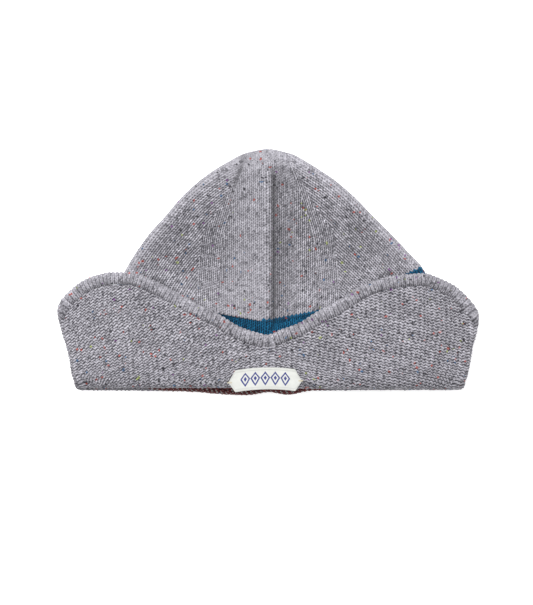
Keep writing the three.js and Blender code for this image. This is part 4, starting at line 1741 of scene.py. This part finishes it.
def declare(piece: bpy.types.Object, node: str, finish: bpy.types.Material) -> None:
    """Give a piece its finish and its place in the frame.

    Args:
        piece: the piece.
        node: the CAD node that it replaces.
        finish: its material.
    """
    piece.data.materials.append(finish)
    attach(piece, "root")
    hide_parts(node)
    log.info("built %s: %d faces", piece.name, len(piece.data.polygons))


def ring_columns(count: int) -> tuple[np.ndarray, np.ndarray]:
    """Return the side and the place along the ring of columns round the cuff."""
    turn = np.arange(count + 1) * 2 / count
    return np.r_[np.ones(count + 1), -np.ones(count)], np.r_[turn, turn[::-1][1:]]


@dataclass
class Crown:
    """The crown and the bands of colour below it, knitted in one."""

    shape: CrownShape
    lower_courses: int = 23
    blue_courses: int = 7
    maroon_courses: int = 5
    relief: float = 0.75

    def build(self) -> None:
        """Build the crown, the blue stripe, the base and the maroon stripe."""
        sheet, start = CrownKnit(self.shape).lay(self.lower_courses)
        blue = start - self.blue_courses * PER_STITCH
        maroon = self.maroon_courses * PER_STITCH
        bands = [
            ("crown_knit", "crown", "grey_knit", GREY_KNIT, start, len(sheet.place) - 1),
            ("blue_stripe_knit", "blue_stripe", "blue_knit", BLUE_KNIT, blue, start),
            ("base_knit", "crown_base", "grey_knit", GREY_KNIT, maroon, blue),
            ("maroon_stripe_knit", "maroon_stripe", "maroon_knit", MAROON_KNIT, 0, maroon),
        ]
        for name, node, slot, finish, low, high in bands:
            piece = KnitSheet(sheet.rows(low, high), Pattern.PLAIN, self.relief).build(name)
            declare(piece, node, finish.material())


@dataclass
class EarflapCuff:
    """The cuff: purl side out, folded up at the rim, rising to a flap over each ear."""

    shape: CuffShape
    wales: int = 80
    course_pitch: float = 1.95
    sag_left: float = 0.17
    sag_right: float = 0.2
    sag_round: float = 4.0
    seam_gap: float = 0.15
    fold_steps: int = 24
    relief: float = 0.9
    dyed_across: tuple[float, float] = (-59.0, 21.5)
    dyed_fold: float = 0.75
    dyed_sharp: float = 5.0
    dyed_fade: tuple[float, float] = (35.0, 8.0)
    under_rows: tuple[float, float] = (0.3, 0.75)
    lip_rows: tuple[float, float] = (0.8, 1.3)
    low_shade: float = 0.3
    low_reach: float = 7.5
    under_shade: float = 0.55
    lip_shade: float = 0.34
    slack: float = 0.05
    lean_middle: float = 0.02
    lean_side: float = 0.1
    lean_reach: float = 20.0

    def sag(self, side: np.ndarray, turn: np.ndarray) -> np.ndarray:
        """Find how far a course hangs below its height at the front's middle.

        Args:
            side: -1 for the left and 1 for the right.
            turn: places along the ring.

        Returns:
            The distance down at each place.
        """
        from_middle = np.where(turn > 1, 2 - turn, turn) * CUFF_REACH
        slope = np.where(side < 0, self.sag_left, self.sag_right)
        return slope * (np.hypot(from_middle, self.sag_round) - self.sag_round)

    def cloth(self) -> Cloth:
        """Lay the cuff's stitches, from the start of the fold to the seam of the edging.

        Returns:
            The sheet of stitches.
        """
        side, turn = ring_columns(self.wales * PER_STITCH)
        at_turn, top = self.shape.inside_edge(side, turn, RIB_WIDTH + self.seam_gap)
        sag = self.sag(side, turn)
        highest = int(np.ceil(np.max(top + sag) / self.course_pitch))
        rows, courses = [], []
        for angle in np.linspace(0, math.pi, self.fold_steps, endpoint=False):
            rows.append(self.shape.fold_point(side, turn, angle))
            turned = (FOLD_TURN + HALF_WALL) * (math.pi - angle)
            courses.append((RIM_UP + sag - turned) / self.course_pitch)
        for level in np.arange(2 * PER_STITCH, highest * PER_STITCH + 1) / PER_STITCH:
            up = np.clip(level * self.course_pitch - sag, RIM_UP, top)
            climb = (up - RIM_UP) / (top - RIM_UP)
            rows.append(self.shape.point(side, turn, up, turn + (at_turn - turn) * climb))
            courses.append((up + sag) / self.course_pitch)
        place = np.stack(rows)
        place[:, -1] = place[:, 0]
        front = np.broadcast_to(turn <= 1, place.shape[:2])
        wales = np.broadcast_to(np.arange(len(turn)) / PER_STITCH, place.shape[:2])
        coarse = list(range(0, place.shape[1], PER_STITCH))
        towards_side = side * (1 - bell((1 - np.abs(1 - turn)) * CUFF_REACH, self.lean_reach))
        lean = self.lean_middle - self.lean_side * towards_side
        row = np.arange(len(place))[:, None] / self.fold_steps
        return Cloth(place, wales, np.stack(courses), coarse, self.dye(place, front, row),
                     self.tint(place, front, row), self.slack, lean)

    def tint(self, place: np.ndarray, front: np.ndarray, row: np.ndarray) -> np.ndarray:
        """Paint shade on the cuff under and just over the fold, and on the back's lip.

        Args:
            place: the sheet's places.
            front: which columns lie in the front.
            row: 0 at the start of the fold and 1 at its end, for each row.

        Returns:
            How light each place looks.
        """
        low = self.low_shade * bell(place[..., 1] - 2, self.low_reach)
        under = self.under_shade * (1 - smooth_step(*self.under_rows, row))
        lip = self.lip_shade * (1 - smooth_step(*self.lip_rows, row))
        return 1 - np.where(front, np.maximum(low, under), lip)

    def dye(self, place: np.ndarray, front: np.ndarray, row: np.ndarray) -> np.ndarray:
        """Mark the maroon stretch of the back's fold.

        Args:
            place: the sheet's places.
            front: which columns lie in the front.
            row: 0 at the start of the fold and 1 at its end, for each row.

        Returns:
            How far inside the maroon stretch each place lies.
        """
        (low, high), (out, over) = self.dyed_across, self.dyed_fade
        inside = stretch(low - out, low + over, high - over, high + out, place[..., 0])
        return np.where(front, UNDYED, (self.dyed_fold * inside - row) * self.dyed_sharp)

    def build(self) -> None:
        """Build the cuff."""
        piece = KnitSheet(self.cloth(), Pattern.PURL, self.relief).build("cuff_knit")
        declare(piece, "earflap_cuff", GREY_PURL.material())


@dataclass
class EdgeRibbing:
    """The ribbed edging that trims the cuff's free edge."""

    shape: CuffShape
    ribs: int = 104
    steps: int = 14
    coarse_rows: int = 3
    courses: float = 4.4
    least_inset: float = 0.05
    bulge: float = 1.2
    bulge_turn: tuple[float, float] = (0.93, 1.05)
    relief: float = 0.6
    scallop: float = 0.6
    seam_slack: float = 0.25
    edge_slack: float = 0.28

    def build(self) -> None:
        """Build the edging, from its seam on the cuff to the free edge."""
        side, turn = ring_columns(self.ribs * PER_STITCH)
        wale = np.arange(len(turn)) / PER_STITCH
        scallop = self.scallop * wave(wale)
        outer_share = 1 - smooth_step(*self.bulge_turn, turn)
        bulge = Curve([0, 0.12, 0.4, 0.75, 1], [0, 0.6, 1, 0.85, 0.15])
        thick = Curve([0, 0.12, 0.4, 1], [0.45, 0.9, 1, 1])
        rows, outer, inner = [], [], []
        from_edge = np.linspace(1, 0, self.steps)
        for s in from_edge:
            distance = max(s * RIB_WIDTH, self.least_inset) + scallop * (1 - s) ** 3
            at_turn, up = self.shape.inside_edge(side, turn, distance)
            rows.append(self.shape.point(side, turn, up, at_turn))
            swell = self.bulge * bulge(s)
            outer.append(HALF_WALL * thick(s) + swell * outer_share)
            inner.append(HALF_WALL * thick(s) + swell * (1 - outer_share))
        place = np.stack(rows)
        place[:, -1] = place[:, 0]
        course = np.broadcast_to((1 - from_edge)[:, None] * self.courses, place.shape[:2])
        # the free edge gets fewer open gaps, a painted highlight on the rolled edge
        slack = (self.seam_slack * from_edge - self.edge_slack * (1 - from_edge))[:, None]
        cloth = Cloth(place, np.broadcast_to(wale, place.shape[:2]), course,
                      list(range(0, place.shape[1], PER_STITCH)), slack=slack)
        wall = (np.stack(outer), np.stack(inner))
        sheet = KnitSheet(cloth, Pattern.RIB, self.relief, self.coarse_rows, wall)
        declare(sheet.build("edge_ribbing_knit"), "edge_ribbing", GREY_RIB.material())


@dataclass
class Label:
    """The woven label over the front of the rim: an arched strip with pointed ends."""

    shape: CuffShape
    across: float = -1.8
    up: float = 9.4
    half_length: float = 24.0
    shoulder: float = 19.8
    height: float = 14.4
    arch: float = 2.3
    tip_height: float = 1.0
    thickness: float = 0.9
    overhang_from: float = 6.6
    lift: float = 0.6
    turn: float = 0.02
    border_inset: float = 1.1
    border_rise: float = 0.18
    border_reach: float = 0.35
    groove_inset: float = 1.55
    groove_reach: float = 0.3
    edge_round: float = 0.5
    edge_share: float = 0.45
    edge_limit: float = 6.0
    tip_rate: float = 1.6
    seat_step: float = 0.5
    seat_rounds: int = 4
    tack_inset: float = 0.6
    tack_share: float = 0.8
    columns: int = 121
    rows: int = 37

    def place(self, across: np.ndarray, up: np.ndarray, lift: np.ndarray) -> np.ndarray:
        """Find points of the label over the cuff, straight out past the fold.

        Args:
            across: places across the hat.
            up: heights that the points have in plan.
            lift: height over the cuff's outer face.

        Returns:
            Rows of across, up and height.
        """
        lying_up = np.maximum(up, self.overhang_from)
        step = self.seat_step
        shift = np.zeros(up.shape)
        for _ in range(self.seat_rounds):
            shift = self.shape.crown.shift_at(across, lying_up - shift, np.full(up.shape, True))
        point = self.shape.over(across, lying_up - shift)
        along = (self.shape.over(across, lying_up - shift + step) - point) / step
        side = self.shape.over(across + step, lying_up - shift) - point
        normal = unit(np.cross(side, along))
        middle = point + normal * (HALF_WALL + self.lift)
        middle = middle + along * ((up - middle[..., 1]) / along[..., 1])[..., None]
        return middle + normal * (lift - self.lift)[..., None]

    def tip(self, side: int) -> np.ndarray:
        """Find where a tack holds the label.

        Args:
            side: -1 for the left tip and 1 for the right.

        Returns:
            The place on top of the label, in millimetres.
        """
        across = np.array(self.across + side * (self.half_length - self.tack_inset))
        up = np.array(self.up - self.arch + side * self.turn * self.half_length)
        return self.place(across, up, np.array(self.lift + self.thickness * self.tack_share))

    def _faces(self) -> list[tuple[int, ...]]:
        """List the faces of the strip.

        Returns:
            The top and bottom faces, then those of the edge all round.
        """
        columns, rows = self.columns, self.rows
        count = rows * columns
        faces = []
        for i in range(rows - 1):
            for j in range(columns - 1):
                a = i * columns + j
                square = (a, a + 1, a + columns + 1, a + columns)
                faces.append(tuple(corner + count for corner in square))
                faces.append((a, *square[:0:-1]))
        rim = list(range(columns))
        rim += [i * columns + columns - 1 for i in range(1, rows)]
        rim += [(rows - 1) * columns + j for j in range(columns - 2, -1, -1)]
        rim += [i * columns for i in range(rows - 2, 0, -1)]
        for first, second in zip(rim, rim[1:] + rim[:1]):
            faces.append((first, second, second + count, first + count))
        return faces

    def build(self) -> None:
        """Build the label as a thin closed strip."""
        share = np.linspace(-1, 1, self.columns)
        along = share * self.half_length
        to_tip = np.maximum(np.abs(along) - self.shoulder, 0) / (self.half_length - self.shoulder)
        half = (self.height + (self.tip_height - self.height) * to_tip) / 2
        middle = self.up - self.arch * share**2 + self.turn * along
        step = np.linspace(-1, 1, self.rows)[:, None]
        up = middle + half * step
        across = np.broadcast_to(self.across + along, up.shape)
        from_tip = (self.half_length - np.abs(along)) * self.tip_rate
        from_edge = np.minimum(half * (1 - np.abs(step)), from_tip)
        from_edge = np.minimum(from_edge, self.edge_limit)
        border = self.border_rise * bell(from_edge - self.border_inset, self.border_reach)
        rise = self.edge_share + (1 - self.edge_share) * smooth_step(0, self.edge_round, from_edge)
        points = []
        for lift in (np.full(up.shape, self.lift), self.lift + self.thickness * rise + border):
            points.append(self.place(across, up, lift).reshape(-1, 3))
        faces = self._faces()
        piece = shape_object("label_strip", np.concatenate(points), faces)
        weave = np.stack([np.broadcast_to(along, up.shape), half * step], axis=-1).reshape(-1, 2)
        corners = np.array([corner % len(weave) for face in faces for corner in face])
        layer = piece.data.uv_layers.new(name="weave")
        layer.data.foreach_set("uv", weave[corners].ravel())
        shade = 1 - bell(from_edge - self.groove_inset, self.groove_reach).ravel()
        layer = piece.data.attributes.new("depth", "FLOAT", "POINT")
        layer.data.foreach_set("value", np.concatenate([shade, shade]))
        declare(piece, "label", LABEL_WEAVE.material())


@dataclass
class BarTack:
    """A short thick stitch that holds one end of the label."""

    name: str
    node: str
    tip: np.ndarray
    turns: int = 9
    lean: float = 0.25
    end_share: float = 0.55
    ring_share: float = 0.7
    thread_share: float = 1.15
    spread: float = 0.86
    ring_steps: int = 20
    thread_steps: int = 8

    def build(self) -> None:
        """Build the tack as a bar of wound thread in its node's box."""
        low, high = (np.array(corner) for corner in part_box(self.node))
        size = high - low
        centre = (self.tip - np.array([0, ORIGIN_UP, 0])) * MM
        radius = float(min(size[1], size[2])) / 2
        half = float(size[0]) / 2
        bpy.ops.object.select_all(action="DESELECT")
        rings = []
        for turn in range(self.turns):
            share = (turn + 0.5) / self.turns * 2 - 1
            bulge = self.end_share + (1 - self.end_share) * math.sqrt(1 - share * share)
            bpy.ops.mesh.primitive_torus_add(
                major_radius=radius * bulge * self.ring_share,
                minor_radius=half / self.turns * self.thread_share,
                major_segments=self.ring_steps, minor_segments=self.thread_steps,
                rotation=(self.lean, math.pi / 2, 0), location=(share * half * self.spread, 0, 0))
            rings.append(bpy.context.object)
        for ring in rings:
            ring.select_set(True)
        bpy.context.view_layer.objects.active = rings[0]
        bpy.ops.object.join()
        piece = bpy.context.object
        piece.name = self.name
        bpy.ops.object.transform_apply(location=True, rotation=True, scale=True)
        bpy.ops.object.mode_set(mode="EDIT")
        bpy.ops.mesh.select_all(action="SELECT")
        bpy.ops.transform.translate(value=tuple(centre))
        bpy.ops.object.mode_set(mode="OBJECT")
        piece.data.shade_smooth()
        declare(piece, self.node, TACK_THREAD.material())


@dataclass
class Studio:
    """Pale floor, soft light and the camera straight above, in metres."""

    distance: float = 1.3
    frame_height: float = 0.4066
    aim: tuple[float, float, float] = (-0.001, -0.0209, 0.008)
    floor_size: float = 8
    floor_gap: float = 0.0005
    sky: float = 0.8
    sensor: float = 36
    lamp_place: tuple[float, float, float] = (-0.4, 0.45, 1.7)
    lamp_size: float = 0.7
    lamp_power: float = 28

    def build(self) -> None:
        """Set the floor, the lamp, the world and the camera."""
        bpy.ops.object.select_all(action="DESELECT")
        floor_height = CAD_BOX[0][2] - self.floor_gap
        bpy.ops.mesh.primitive_plane_add(size=self.floor_size, location=(0, 0, floor_height))
        floor = bpy.context.object
        floor.name = "floor"
        floor.data.materials.append(FLOOR.material())
        world = bpy.data.worlds.new("studio")
        world.use_nodes = True
        background = world.node_tree.nodes["Background"]
        background.inputs["Color"].default_value = (1, 1, 1, 1)
        background.inputs["Strength"].default_value = self.sky
        bpy.context.scene.world = world
        lamp = bpy.data.lights.new("key", "AREA")
        lamp.size, lamp.energy = self.lamp_size, self.lamp_power
        self.hang(lamp, self.lamp_place).rotation_euler = (
            Vector(self.lamp_place).to_track_quat("Z", "Y").to_euler())
        camera = bpy.data.cameras.new("camera")
        camera.sensor_width = self.sensor
        camera.lens = self.sensor * self.distance / self.frame_height
        over = (self.aim[0], self.aim[1], self.aim[2] + self.distance)
        bpy.context.scene.camera = self.hang(camera, over)
        bpy.context.scene.view_settings.view_transform = "Standard"
        log.info("set the studio")

    def hang(self, data: bpy.types.ID, place: tuple[float, float, float]) -> bpy.types.Object:
        """Hang a lamp or a camera in the scene.

        Args:
            data: the lamp or the camera.
            place: where it hangs.

        Returns:
            The object that holds it.
        """
        holder = bpy.data.objects.new(data.name, data)
        holder.location = place
        bpy.context.scene.collection.objects.link(holder)
        return holder


def main() -> None:
    """Build the beanie piece by piece, then the studio."""
    logging.basicConfig(level=logging.INFO, format="%(message)s")
    crown_shape = CrownShape()
    cuff_shape = CuffShape(crown_shape)
    Crown(crown_shape).build()
    EarflapCuff(cuff_shape).build()
    EdgeRibbing(cuff_shape).build()
    label = Label(cuff_shape)
    label.build()
    BarTack("left_tack", "tack_left", label.tip(-1)).build()
    BarTack("right_tack", "tack_right", label.tip(1)).build()
    Studio().build()


if __name__ == "__main__":
    main()
